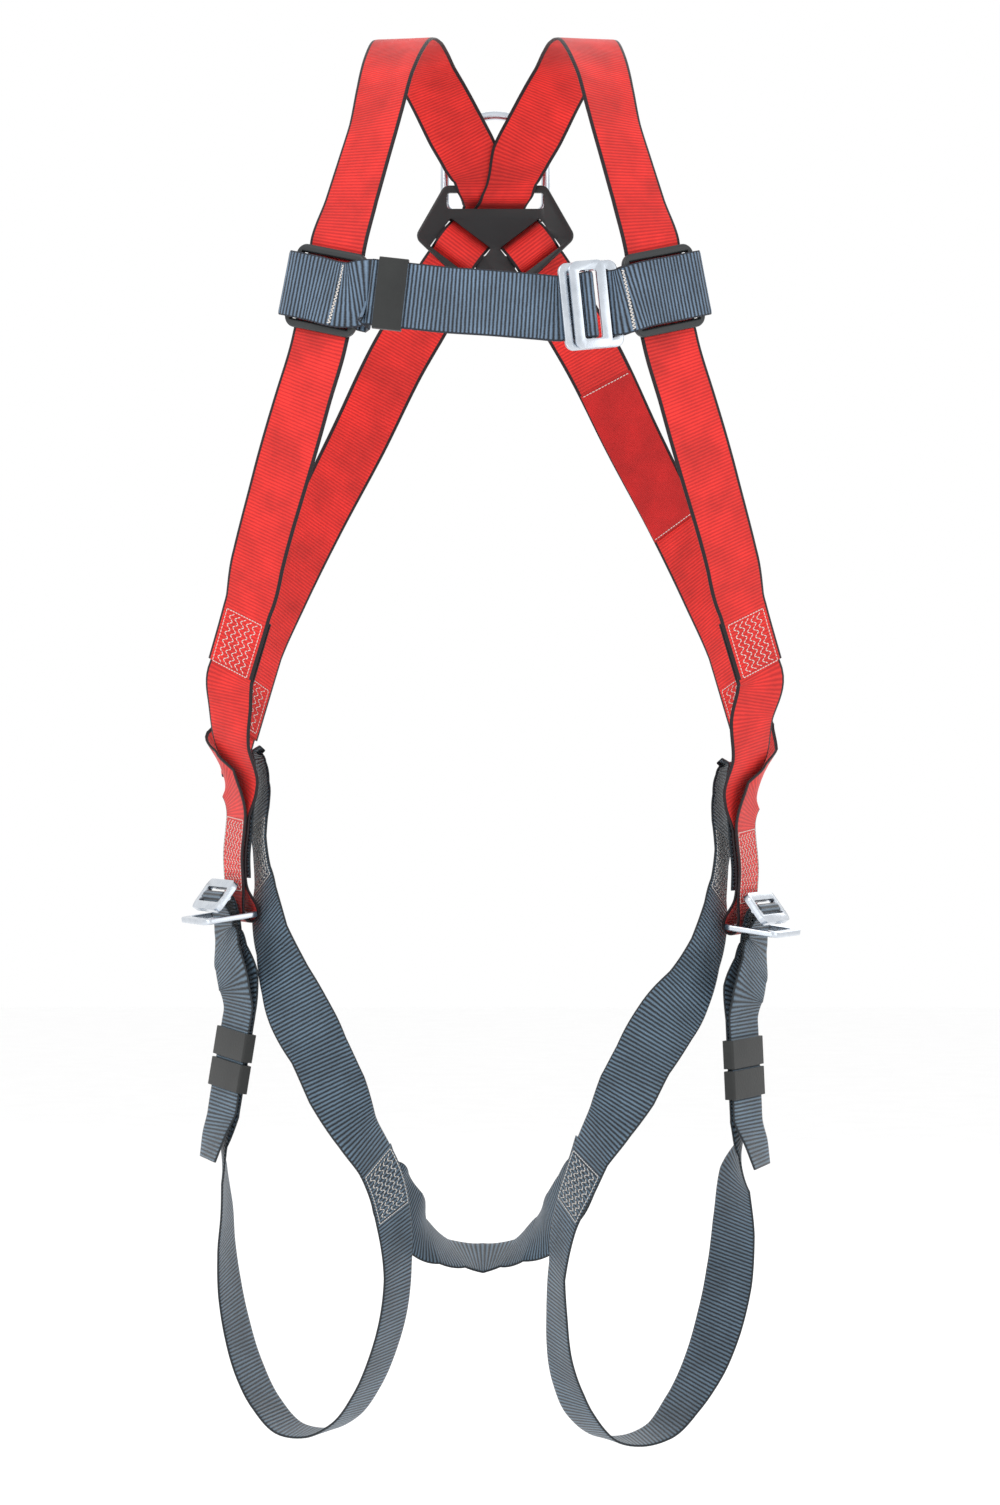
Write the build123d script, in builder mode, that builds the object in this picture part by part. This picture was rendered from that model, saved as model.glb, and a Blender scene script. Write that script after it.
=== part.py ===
from build123d import *
import math
import os

os.makedirs("parts", exist_ok=True)

# Full-body fall-arrest harness, worn shape, in millimetres.
# Origin: midway between the two shoulders, level with the top of the shoulder straps.
# +Z is up, the wearer faces -Y, and +X is the wearer's left.

# ---------------------------------------------------------------- driving dimensions
webbing_width = 45.0
webbing_thickness = 2.0
layer_gap = 0.4          # between two layers that are sewn or held together
fold_gap = 0.4           # between a bar and the webbing that goes round it
section_spacing = 16.0   # distance between two sections of a strap

plate_thickness = 5.0
plate_inner_y = 112.0    # the face that lies on the wearer's back
plate_top_z = -89.5
plate_widest_z = -128.0
plate_bottom_z = -172.0
plate_top_half = 38.0
plate_half_width = 60.0
plate_corner_radius = 7.0
top_slot_width = 72.0
top_slot_height = 12.0
top_slot_z = -101.0
pair_x = 26.0            # middle of the strap piece that crosses the plate's bridge
pair_z = -135.5
pair_lean = 37.0         # degrees between that piece and the vertical
bridge_width = 10.0
pair_slot_width = 8.0
slot_clearance = 0.75
squeezed = 0.8           # share of its width that webbing keeps inside the plate

ring_section = 6.5
ring_half_width = 37.5
ring_corner_radius = 8.0
ring_bar_z = -109.5
ring_centre_z = -74.0
ring_clearance = 0.35

slide_bar = 6.0
slide_thickness = 5.0
slide_side_gap = 1.5
slide_centre_bar = 8.0
slide_corner_radius = 8.0
slide_yaw = 28.0         # how far each shoulder strap faces outwards at the chest
slide_tilt = 12.7        # how far each shoulder strap leans at the chest
slide_x = 116.0
slide_y = -116.0
slide_z = -193.0

frame_thickness = 4.0    # steel buckle frames
frame_bar = 6.5
male_width = 25.5
male_bar_radius = 2.0
male_lift = 2.0          # free height between the two frames of a fastened buckle
female_span = 34.8       # between the middles of the female frame's two long bars
female_offset = 19.0     # from the male frame's middle to the female's fixed bar
buckle_side_gap = 1.0
frame_corner_radius = 6.0

keeper_wall = 1.6
keeper_gap = 0.5
chest_keeper_length = 20.0
leg_keeper_length = 20.0


# ---------------------------------------------------------------- straps
def unit(vector):
    return vector.normalized()


def strap_sections(route):
    """Planes and widths along a strap.

    A route is a list of stations: a point on the strap's middle surface, and the direction
    across the strap. The length of that direction is the share of the width that is kept.
    A third value of 1 holds the direction as given, for a strap that goes through a slot
    at a slant, and without it the section is square to the strap.
    """
    points = [Vector(*station[0]) for station in route]
    across = [Vector(*station[1]) for station in route]
    slants = [station[2] if len(station) > 2 else 0.0 for station in route]
    spans = [(b - a).length for a, b in zip(points, points[1:])]
    chords = [(b - a) * (1 / span) for a, b, span in zip(points, points[1:], spans)]
    tangents = [chords[0]]
    for before, after, left, right in zip(chords, chords[1:], spans, spans[1:]):
        tangents.append((before * right + after * left) * (1 / (left + right)))
    tangents.append(chords[-1])
    sections = []
    for i, span in enumerate(spans):
        steps = max(1, math.ceil(span / section_spacing))
        last = i == len(spans) - 1
        for step in range(steps + 1 if last else steps):
            u = step / steps
            start = points[i] * (2 * u**3 - 3 * u**2 + 1) + points[i + 1] * (3 * u**2 - 2 * u**3)
            ease = tangents[i] * (u**3 - 2 * u**2 + u) + tangents[i + 1] * (u**3 - u**2)
            position = start + ease * span
            slope = (points[i + 1] - points[i]) * (6 * u - 6 * u**2)
            bend = tangents[i] * (3 * u**2 - 4 * u + 1) + tangents[i + 1] * (3 * u**2 - 2 * u)
            tangent = unit(slope + bend * span)
            wide = across[i] * (1 - u) + across[i + 1] * u
            slant = slants[i] * (1 - u) + slants[i + 1] * u
            side = unit(wide)
            side = unit(side - tangent * (side.dot(tangent) * (1 - slant)))
            normal = tangent - side * tangent.dot(side)
            kept = wide.length / normal.length
            sections.append((Plane(position, x_dir=side, z_dir=unit(normal)), kept))
    return sections


def sew_strap(route, width, thickness):
    """Webbing along a route, as one closed solid. It goes inside a BuildPart block."""
    faces = []
    for plane, kept in strap_sections(route):
        with BuildSketch(plane) as section:
            Rectangle(width * kept, thickness)
        faces.append(section.sketch.face())
    loft(faces, ruled=True)


def beside(route, distance):
    """The same route, moved off its own surface by a distance."""
    moved = []
    for i, station in enumerate(route):
        before = Vector(*route[max(i - 1, 0)][0])
        after = Vector(*route[min(i + 1, len(route) - 1)][0])
        side = unit(Vector(*station[1]))
        normal = unit((after - before).cross(side))
        point = Vector(*station[0]) + normal * distance
        moved.append((tuple(point),) + tuple(station[1:]))
    return moved


def round_bar(centre, start, travel, radius, across, turn, steps=4):
    """Stations round a bar: start points from the bar to the strap, travel the way it goes."""
    stations = []
    for step in range(steps + 1):
        angle = math.radians(turn * step / steps)
        spoke = Vector(*start) * math.cos(angle) + Vector(*travel) * math.sin(angle)
        point = Vector(*centre) + spoke * radius
        stations.append((tuple(point), across))
    return stations


def local(origin, axes, values):
    """A point given by its values along three axes from an origin."""
    point = Vector(*origin)
    for axis, value in zip(axes, values):
        point = point + Vector(*axis) * value
    return tuple(point)


def mirrored(route, shift=(0, 0, 0)):
    """The same route on the wearer's other side."""
    stations = []
    for station in route:
        (x, y, z), (ax, ay, az) = station[:2]
        point = (shift[0] - x, shift[1] + y, shift[2] + z)
        stations.append((point, (ax, -ay, -az)) + tuple(station[2:]))
    return stations


half_layer = (webbing_thickness + layer_gap) / 2
layer_step = 2 * half_layer

# ---------------------------------------------------------------- dorsal plate and ring
plate_outer_y = plate_inner_y + plate_thickness
lean = math.radians(pair_lean)
ring_bar_y = plate_outer_y + ring_clearance + ring_section / 2
plate_face = Plane.XZ.offset(-plate_outer_y)
pair_offset = (bridge_width + pair_slot_width) / 2
pair_length = webbing_width * squeezed + 2 * slot_clearance

with BuildPart() as dorsal_plate:
    with BuildSketch(plate_face):
        with BuildLine():
            Polyline(
                (-plate_top_half, plate_top_z),
                (plate_top_half, plate_top_z),
                (plate_half_width, plate_widest_z),
                (14, plate_bottom_z),
                (-14, plate_bottom_z),
                (-plate_half_width, plate_widest_z),
                close=True,
            )
        make_face()
        fillet(vertices(), plate_corner_radius)
        with Locations((0, top_slot_z)):
            RectangleRounded(top_slot_width, top_slot_height, 2.5, mode=Mode.SUBTRACT)
        for side in (-1, 1):
            for end in (-1, 1):
                x = side * (pair_x + end * pair_offset * math.sin(lean))
                z = pair_z - end * pair_offset * math.cos(lean)
                with Locations(Location((x, z, 0), (0, 0, side * pair_lean))):
                    RectangleRounded(pair_length, pair_slot_width, 1.5, mode=Mode.SUBTRACT)
    extrude(amount=plate_thickness)
    fillet(dorsal_plate.faces().sort_by(Axis.Y)[0].outer_wire().edges(), 1.4)
    fillet(dorsal_plate.faces().sort_by(Axis.Y)[-1].outer_wire().edges(), 1.4)
dorsal_plate.part.label = "dorsal_plate"
export_step(dorsal_plate.part, "parts/dorsal_plate.step")

with BuildPart() as dorsal_d_ring:
    with BuildLine(Plane.XZ.offset(-ring_bar_y)) as ring_path:
        inner = ring_half_width - ring_corner_radius
        corner_z = ring_bar_z + ring_corner_radius
        Line((0, ring_bar_z), (inner, ring_bar_z))
        JernArc((inner, ring_bar_z), (1, 0), ring_corner_radius, 90)
        Line((ring_half_width, corner_z), (ring_half_width, ring_centre_z))
        JernArc((ring_half_width, ring_centre_z), (0, 1), ring_half_width, 180)
        Line((-ring_half_width, ring_centre_z), (-ring_half_width, corner_z))
        JernArc((-ring_half_width, corner_z), (0, -1), ring_corner_radius, 90)
        Line((-inner, ring_bar_z), (0, ring_bar_z))
    with BuildSketch(Plane((0, ring_bar_y, ring_bar_z), x_dir=(0, 1, 0), z_dir=(1, 0, 0))):
        Circle(ring_section / 2)
    sweep()
dorsal_d_ring.part.label = "dorsal_d_ring"
export_step(dorsal_d_ring.part, "parts/dorsal_d_ring.step")

# ---------------------------------------------------------------- chest slides
yaw = math.radians(slide_yaw)
tilt = math.radians(slide_tilt)


def slide_axes(side):
    """Across, along and outward directions of the shoulder strap at one chest slide."""
    outward = Vector(side * math.sin(yaw), -math.cos(yaw), 0)
    flat = Vector(math.cos(yaw), side * math.sin(yaw), 0)
    along = flat * (-side * math.sin(tilt)) + Vector(0, 0, 1) * math.cos(tilt)
    across = flat * math.cos(tilt) + Vector(0, 0, 1) * (side * math.sin(tilt))
    return tuple(across), tuple(along), tuple(outward)


def slide_centre(side):
    return (side * slide_x, slide_y, slide_z)


slide_inner = webbing_width + 2 * slide_side_gap
slide_height = webbing_width + 1.0 + 2 * slide_bar
slide_window = slide_height - 2 * slide_bar
strap_level = (slide_thickness + webbing_thickness) / 2 + fold_gap
loop_level = strap_level + webbing_thickness + 2.5 * layer_gap
bar_level = slide_window / 2 + slide_bar / 2

slide_parts = {}
for side, name in ((-1, "right"), (1, "left")):
    across, along, outward = slide_axes(side)
    slide_plane = Plane(slide_centre(side), x_dir=across, z_dir=outward)
    with BuildPart() as chest_slide:
        with BuildSketch(slide_plane):
            RectangleRounded(slide_inner + 2 * 4.5, slide_height, slide_corner_radius)
            Rectangle(slide_inner, slide_window, mode=Mode.SUBTRACT)
            Rectangle(slide_inner + 2, slide_centre_bar)
        extrude(amount=slide_thickness / 2, both=True)
        fillet(chest_slide.edges().filter_by(GeomType.LINE).filter_by(Axis(slide_centre(side), across)), 1.8)
    chest_slide.part.label = f"chest_slide_{name}"
    export_step(chest_slide.part, f"parts/chest_slide_{name}.step")


def strap_through_slide(side):
    """Behind the lower bar, over the middle bar and behind the upper bar, going up."""
    axes = slide_axes(side)
    centre = slide_centre(side)
    turn = slide_centre_bar / 2 + 1.5
    slot_middle = (slide_centre_bar / 2 + slide_window / 2) / 2
    levels = (
        (-bar_level - 8, -strap_level),
        (-slide_window / 2 + 1, -strap_level),
        (-slot_middle, 0),
        (-turn, strap_level),
        (turn, strap_level),
        (slot_middle, 0),
        (slide_window / 2 - 1, -strap_level),
        (bar_level + 8, -strap_level),
    )
    return [(local(centre, axes, (0, up, out)), axes[0]) for up, out in levels]


# ---------------------------------------------------------------- shoulder straps
# Each one is a single webbing: from the front hip over the shoulder, down through the
# dorsal plate, across to the other side of the back and down to that hip.
fold_radius = ring_section / 2 + 1.5 * fold_gap + webbing_thickness / 2
bridge_y = plate_inner_y - webbing_thickness / 2 - fold_gap
back_y = plate_outer_y + webbing_thickness / 2 + fold_gap
plate_mid_y = (plate_inner_y + plate_outer_y) / 2


def plate_crossing(side, layer):
    """Stations from above the plate to below it, for the strap that comes from one side."""
    flat = (squeezed, 0, 0)
    radius = fold_radius + layer * layer_step
    inner_y = bridge_y - (1 - layer) * layer_step
    entry_z = top_slot_z + top_slot_height / 2 - 0.5 - 2.0 * (1 - layer)
    stations = [((side * 12, inner_y, entry_z + 8), flat, 1), ((side * 9, inner_y, entry_z), flat, 1)]
    for angle in (80, 45, 5, -35):
        y = ring_bar_y + radius * math.cos(math.radians(angle))
        z = ring_bar_z + radius * math.sin(math.radians(angle))
        stations.append(((side * (z - ring_bar_z) * 0.8, y, z), flat, 1))
    part_lean = lean * 0.3
    half_turned = (squeezed * math.cos(part_lean), 0, -side * squeezed * math.sin(part_lean))
    lifted = layer * 2.4 * layer_step
    stations.append(((-side * 12, back_y + 0.4 + lifted, ring_bar_z - 10), half_turned, 1))
    across = (squeezed * math.cos(lean), 0, -side * squeezed * math.sin(lean))
    for distance, y in (
        (-pair_offset - 4.5, back_y + 1.0 + layer * layer_step),
        (-pair_offset + 0.5, plate_mid_y),
        (-bridge_width / 2 - 0.5, bridge_y),
        (bridge_width / 2 + 0.5, bridge_y),
        (pair_offset - 0.5, plate_mid_y),
        (pair_offset + 3.8, back_y + 0.3),
    ):
        x = -side * (pair_x + distance * math.sin(lean))
        z = pair_z - distance * math.cos(lean)
        stations.append(((x, y, z), across))
    return stations


front_low = [
    ((-187, -41, -452), (0.77, -0.63, 0.1)),
    ((-175, -51, -413), (0.78, -0.62, 0.1)),
    ((-173.1, -52.7, -406.5), (0.78, -0.62, 0.1)),
    ((-166, -65, -377), (0.82, -0.57, 0.1)),
    ((-150, -84, -322), (0.86, -0.51, 0.1)),
    ((-133, -102, -267), (0.87, -0.48, 0.1)),
]
front_high = [
    ((-99, -108, -130), (0.85, -0.52, 0)),
    ((-91, -99, -101), (0.83, -0.56, 0)),
    ((-83, -87, -71), (0.81, -0.58, 0)),
    ((-77, -66, -40), (0.84, -0.52, 0)),
    ((-71, -38, -16), (0.92, -0.38, 0)),
    ((-66, -12, -3), (0.97, -0.24, 0)),
    ((-61, 14, 0), (0.98, -0.19, 0)),
    ((-56, 42, -5), (0.97, -0.2, 0.1)),
    ((-50, 68, -15), (0.93, -0.26, 0.22)),
    ((-40, 87, -31), (0.89, -0.24, 0.36)),
    ((-29, 99, -51), (0.88, -0.16, 0.45)),
]
back_low = [
    ((-168.3, 50, -434), (0.57, 0.8, -0.15)),
    ((-170, 48, -440), (0.57, 0.8, -0.15)),
    ((-185, 30, -494), (0.57, 0.8, -0.15)),
]
shoulder_right = front_low + strap_through_slide(-1) + front_high + [
    ((-18, 106, -71), (0.86, -0.05, 0.45)),
] + plate_crossing(-1, 1) + [
    ((52, 118, -182), (0.86, -0.02, 0.5)),
    ((73, 116, -219), (0.85, -0.15, 0.5)),
    ((101, 106, -278), (0.8, -0.35, 0.48)),
    ((130, 88, -338), (0.72, -0.52, 0.44)),
    ((152, 68, -390), (0.66, -0.64, 0.3)),
] + mirrored(back_low)
shoulder_left = mirrored(front_low) + strap_through_slide(1) + mirrored(front_high) + [
    ((18, 103.5, -71), (0.86, 0.05, -0.45)),
] + plate_crossing(1, 0) + [
    ((-52, 118, -182), (0.86, 0.02, -0.5)),
    ((-73, 116, -219), (0.85, 0.12, -0.5)),
    ((-101, 107, -278), (0.82, 0.3, -0.48)),
    ((-130, 88, -338), (0.74, 0.5, -0.44)),
    ((-152, 68, -390), (0.66, 0.64, -0.3)),
] + back_low

with BuildPart() as shoulder_strap_right:
    sew_strap(shoulder_right, webbing_width, webbing_thickness)
shoulder_strap_right.part.label = "shoulder_strap_right"
export_step(shoulder_strap_right.part, "parts/shoulder_strap_right.step")

with BuildPart() as shoulder_strap_left:
    sew_strap(shoulder_left, webbing_width, webbing_thickness)
shoulder_strap_left.part.label = "shoulder_strap_left"
export_step(shoulder_strap_left.part, "parts/shoulder_strap_left.step")

# ---------------------------------------------------------------- hip straps
# Each one is a loop: sewn behind the end of the front strap, down to the leg buckle's
# bar, back up and sewn outside the end of the back strap. Its layers part above the
# lower seam, where the end of the thigh strap is sewn in on the inner side.
left_shift = (-6, 0, -9)     # the left hip hangs a little lower and nearer the body
hip_out = (-0.933, -0.36, 0)
hip_across = (0.36, -0.933, 0)
hip_bar = (-181, -2, -626)
seam_top = (-182.5, -6)
seam = [
    ((-184, -3.5, -606), hip_across),
    ((-185, -4, -585), hip_across),
    ((-183, -5.7, -563), hip_across),
    (seam_top + (-556,), hip_across),
]
bar_fold = math.hypot(frame_bar, frame_thickness) / 2 + fold_gap + webbing_thickness / 2


def at_eye(out, forward, z, turn, kept=1.0):
    """A station above the seam: distances outwards and forward, and the turn of the strap."""
    angle = math.radians(turn)
    point = [seam_top[i] + hip_out[i] * out + hip_across[i] * forward for i in (0, 1)]
    wide = [kept * (hip_across[i] * math.cos(angle) - hip_out[i] * math.sin(angle)) for i in (0, 1)]
    return ((point[0], point[1], z), (wide[0], wide[1], 0))


def run_on(route, share):
    """The route with one more station in front, straight on from its first span."""
    first, second = Vector(*route[0][0]), Vector(*route[1][0])
    return [(tuple(first + (first - second) * share), route[0][1])] + route


hip_front = [((-188, -32, -478), (0.72, -0.69, 0)), at_eye(10.7, 15.2, -505, 14.5), at_eye(-1, 8, -531, 5)]
hip_fold = round_bar(hip_bar, (0.933, 0.36, 0), (0, 0, -1), bar_fold, hip_across, 180, 6)
hip_back = [at_eye(6.5, -6, -533, 0), at_eye(9, -14, -522, -18), at_eye(8, -24, -512, -38)]
hip_top_lap = list(reversed(beside(run_on(front_low[:3], 0.15), layer_step)))[1:]
hip_back_lap = [
    (point, tuple(-value for value in across))
    for point, across in beside(run_on(list(reversed(back_low))[:2], 0.12), layer_step)
]
hip_low = hip_front + list(reversed(seam)) + hip_fold + beside(seam, -layer_step) + hip_back
hip_right = hip_top_lap + hip_low + hip_back_lap
hip_left = mirrored(hip_top_lap) + mirrored(hip_low, left_shift) + mirrored(hip_back_lap)

with BuildPart() as hip_strap_right:
    sew_strap(hip_right, webbing_width, webbing_thickness)
hip_strap_right.part.label = "hip_strap_right"
export_step(hip_strap_right.part, "parts/hip_strap_right.step")

with BuildPart() as hip_strap_left:
    sew_strap(hip_left, webbing_width, webbing_thickness)
hip_strap_left.part.label = "hip_strap_left"
export_step(hip_strap_left.part, "parts/hip_strap_left.step")

# ---------------------------------------------------------------- buckles
# Each buckle is a steel male frame with a middle bar, over a wider female frame.
# Axes of a buckle: along the strap, along the bars, and outwards.
frame_height = webbing_width + 2 * (buckle_side_gap + frame_bar)
female_width = female_span + frame_bar
male_level = male_lift + frame_thickness   # between the middles of the two frames
male_rise = 1.6                             # from the middle bar to the middle of its frame
male_fold = male_bar_radius + fold_gap + webbing_thickness / 2


def axes_from(along, bars):
    """Three square directions: along the strap, along the bars, outwards."""
    first = unit(Vector(*along))
    second = unit(Vector(*bars) - first * Vector(*bars).dot(first))
    return tuple(first), tuple(second), tuple(first.cross(second))


def bent_frame(centre, axes, width):
    """A flat steel frame with rounded corners. It goes inside a BuildPart block."""
    window = (width - 2 * frame_bar, frame_height - 2 * frame_bar)
    with BuildSketch(Plane(centre, x_dir=axes[0], z_dir=axes[2])) as outline:
        RectangleRounded(width, frame_height, frame_corner_radius)
        RectangleRounded(*window, 2.0, mode=Mode.SUBTRACT)
    extrude(outline.sketch, amount=frame_thickness / 2, both=True)


def male_frame(bar_centre, axes):
    """The frame stands out from its middle bar, which the adjustable strap goes round."""
    bent_frame(local(bar_centre, axes, (0, 0, male_rise)), axes, male_width)
    with BuildSketch(Plane(bar_centre, x_dir=axes[0], z_dir=axes[1])) as bar:
        Circle(male_bar_radius)
    extrude(bar.sketch, amount=(frame_height - frame_bar) / 2, both=True)


chest_axes = axes_from((0.975, 0.2, 0.1), (-0.1, 0, 1))
chest_centre = (64, -133, -205)
chest_bar = local(chest_centre, chest_axes, (0, 0, male_level - male_rise))
chest_fixed_bar = local(chest_centre, chest_axes, (female_offset, 0, 0))

with BuildPart() as chest_buckle_male:
    male_frame(chest_bar, chest_axes)
chest_buckle_male.part.label = "chest_buckle_male"
export_step(chest_buckle_male.part, "parts/chest_buckle_male.step")

with BuildPart() as chest_buckle_female:
    middle = local(chest_centre, chest_axes, (female_offset - female_span / 2, 0, 0))
    bent_frame(middle, chest_axes, female_width)
chest_buckle_female.part.label = "chest_buckle_female"
export_step(chest_buckle_female.part, "parts/chest_buckle_female.step")

# Leg buckles: the female frame stands out from the hip strap's fold, nearly level, and the
# male frame leans over it with its lower bar outwards.
female_droop = math.radians(8)
male_slope = math.radians(54)
male_out = 19.0
male_up = 12.0


def to_side(side, vector, shift=(0, 0, 0)):
    """A vector of the right side, brought over to the given side."""
    if side < 0:
        return tuple(vector)
    return (shift[0] - vector[0], shift[1] + vector[1], shift[2] + vector[2])


def hip_slope(side, angle):
    """Direction that points outwards from the hip and down by an angle."""
    level = math.cos(angle)
    return to_side(side, (hip_out[0] * level, hip_out[1] * level, -math.sin(angle)))


male_middle = (hip_bar[0] + male_out * hip_out[0], hip_bar[1] + male_out * hip_out[1], hip_bar[2] + male_up)
leg_male_axes = {}
leg_bar = {}
for side, name in ((-1, "right"), (1, "left")):
    bars = to_side(side, hip_across)
    bars = tuple(-side * value for value in bars)
    leg_male_axes[side] = axes_from(hip_slope(side, male_slope), bars)
    leg_bar[side] = to_side(side, male_middle, left_shift)
    with BuildPart() as leg_buckle_male:
        male_frame(leg_bar[side], leg_male_axes[side])
    leg_buckle_male.part.label = f"leg_buckle_male_{name}"
    export_step(leg_buckle_male.part, f"parts/leg_buckle_male_{name}.step")

    female_axes = axes_from(hip_slope(side, female_droop), bars)
    with BuildPart() as leg_buckle_female:
        middle = local(to_side(side, hip_bar, left_shift), female_axes, (female_span / 2, 0, 0))
        bent_frame(middle, female_axes, female_width)
    leg_buckle_female.part.label = f"leg_buckle_female_{name}"
    export_step(leg_buckle_female.part, f"parts/leg_buckle_female_{name}.step")

# ---------------------------------------------------------------- chest straps
bars = chest_axes[1]
chest_main = [
    ((-86, -136.4, -196.1), (0.1, 0, 1)),
    ((-82, -136.6, -196.6), (0.1, 0, 1)),
    ((-76, -136.9, -197.3), (0.1, 0, 1)),
    ((-46, -138.5, -200.7), (0.1, 0, 1)),
    ((-40, -138.8, -201.4), (0.1, 0, 1)),
    ((0, -138, -204.2), (0, 0, 1)),
    ((30, -134.2, -206.3), (-0.05, 0, 1)),
]


def at_buckle(u, out):
    return (local(chest_centre, chest_axes, (u, 0, out)), bars)


under = frame_thickness / 2 + fold_gap + webbing_thickness / 2
deeper = under + layer_step
chest_threading = [at_buckle(-20, -deeper), at_buckle(-12, -deeper), at_buckle(-5, -deeper + 0.4)]
chest_threading += [at_buckle(0.5, -3.6), at_buckle(3.2, 0)]
chest_threading += round_bar(chest_bar, chest_axes[0], chest_axes[2], male_fold, bars, 180)
chest_threading += [at_buckle(-4.5, 0.5), at_buckle(-8, -2.2), at_buckle(-12.5, -under), at_buckle(-20, -under)]


def round_slide(side, levels):
    """Stations of a chest strap at its slide, given as across and outward distances."""
    axes = slide_axes(side)
    wide = axes[1]
    return [(local(slide_centre(side), axes, (across, 0, out)), wide) for across, out in levels]


def slide_fold(side):
    """The strap goes round the slide's outer side, from behind it to the front."""
    axes = slide_axes(side)
    centre = local(slide_centre(side), axes, (side * 26, 0, 0))
    back = tuple(-value for value in axes[2])
    outwards = tuple(side * value for value in axes[0])
    return round_bar(centre, back, outwards, loop_level, axes[1], 180)


adjustable = beside(chest_main[:2], -layer_step - 0.5)[:1]
adjustable += round_slide(-1, [(34, -5.2), (24, -loop_level), (-10, -loop_level)]) + slide_fold(-1)
adjustable += round_slide(-1, [(-10, loop_level), (22, loop_level)])
adjustable += chest_main + chest_threading + list(reversed(beside(chest_main, layer_step)))
with BuildPart() as chest_strap_adjustable:
    sew_strap(adjustable, webbing_width, webbing_thickness)
chest_strap_adjustable.part.label = "chest_strap_adjustable"
export_step(chest_strap_adjustable.part, "parts/chest_strap_adjustable.step")

backwards = tuple(-value for value in chest_axes[2])
towards_middle = tuple(-value for value in chest_axes[0])
fixed = round_slide(1, [(12, -loop_level - layer_step), (-20, -loop_level - layer_step)])
fixed += round_bar(chest_fixed_bar, backwards, towards_middle, bar_fold, bars, 180)
fixed += round_slide(1, [(-20, loop_level), (10, loop_level)])
fixed += list(reversed(slide_fold(1))) + round_slide(1, [(10, -loop_level), (-12, -loop_level)])
with BuildPart() as chest_strap_fixed:
    sew_strap(fixed, webbing_width, webbing_thickness)
chest_strap_fixed.part.label = "chest_strap_fixed"
export_step(chest_strap_fixed.part, "parts/chest_strap_fixed.step")

# ---------------------------------------------------------------- thigh straps
# One webbing on each side: sewn inside the hip's lower seam, up and over, down
# over the thigh to the crotch, round the leg, up to the leg buckle and down as a free end.
eye = [((-182, -2.7, -600), hip_across)] + beside(seam, layer_step + 0.5)[1:] + [
    at_eye(-6, -4, -534, 0),
    at_eye(-8.5, -11, -520, -8, 0.9),
    at_eye(-14.5, -15, -508.5, -12, 0.85),
    at_eye(-20, -14, -520, -8, 0.9),
    at_eye(-19, -10, -538, -4),
]
right_thigh_front = [
    ((-169.5, 3, -556), (0.36, -0.93, 0)),
    ((-168.5, -2, -576), (0.26, -0.97, 0)),
    ((-166, -9, -600), (0.3, -0.95, 0)),
    ((-164.5, -17, -616), (0.42, -0.9, 0)),
    ((-158, -34, -644), (0.57, -0.82, 0)),
    ((-148, -46, -672), (0.83, -0.56, 0)),
    ((-139, -52, -692), (0.98, -0.2, 0)),
    ((-124, -56, -720), (0.94, 0.34, 0)),
    ((-111, -58, -748), (0.94, 0.34, 0)),
    ((-97, -56, -777), (0.7, 0.7, 0)),
    ((-84.5, -50, -798), (0.57, 0.82, 0)),
    ((-77, -44, -816), (0.55, 0.83, 0)),
    ((-71.5, -36, -842), (0.5, 0.87, 0)),
]
right_leg_loop = [
    ((-69, -28, -879), (0.4, 0.91, 0)),
    ((-72, -24, -909), (0.4, 0.91, 0)),
    ((-80, -18, -939), (0.4, 0.91, 0)),
    ((-91, -12, -965), (0.4, 0.91, 0)),
    ((-107.5, -6, -988), (0.4, 0.91, 0)),
    ((-127, 0, -998), (0.4, 0.91, 0)),
    ((-147, 5, -996), (0.4, 0.91, 0)),
    ((-165, 11, -978), (0.4, 0.91, 0)),
    ((-177.5, 13, -953), (0.4, 0.91, 0)),
    ((-186, 14, -924), (0.36, 0.93, 0)),
    ((-191, 11, -895), (0.3, 0.95, 0)),
    ((-193, 5, -866), (0.2, 0.98, 0)),
    ((-192.5, -4, -837), (0.1, 0.99, 0)),
    ((-193.5, -11, -811), (0, 1, 0)),
    ((-194, -18, -785), (-0.2, 0.98, 0)),
]
right_keeper_run = [
    ((-191.9, -22, -766), (-0.5, 0.87, 0)),
    ((-190.6, -22, -758), (-0.5, 0.87, 0)),
    ((-181.6, -22, -702), (-0.5, 0.87, 0)),
    ((-180.5, -22, -695), (-0.5, 0.87, 0)),
]
right_buckle_run = [
    ((-181, -18, -674), (-0.6, 0.8, 0)),
    ((-185.5, -10, -656), (-0.45, 0.89, 0)),
    ((-188.1, -4.9, -640), (-0.36, 0.93, 0)),
    ((-189.4, -5.2, -629), (-0.36, 0.93, 0)),
]
right_free_start = [
    ((-194.5, -7, -628), (-0.36, 0.93, 0)),
    ((-193.2, -7.5, -640), (-0.36, 0.93, 0)),
    ((-190.5, -17, -657), (-0.45, 0.89, 0)),
    ((-185.5, -25, -676), (-0.55, 0.83, 0)),
]
left_thigh_front = [
    ((163, 3, -566), (-0.36, -0.93, 0)),
    ((162, -3, -586), (-0.26, -0.97, 0)),
    ((159.5, -10, -609), (-0.3, -0.95, 0)),
    ((157, -19, -627), (-0.42, -0.9, 0)),
    ((149, -33, -653), (-0.57, -0.82, 0)),
    ((137, -43, -678), (-0.8, -0.6, 0)),
    ((120, -52, -701), (-0.98, -0.1, 0)),
    ((104, -56, -727), (-0.94, 0.34, 0)),
    ((93, -58, -748), (-0.94, 0.34, 0)),
    ((81, -57, -770), (-0.75, 0.66, 0)),
    ((69, -52, -791), (-0.57, 0.82, 0)),
    ((60, -46, -813), (-0.5, 0.87, 0)),
    ((50, -38, -840), (-0.36, 0.93, 0)),
]
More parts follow.
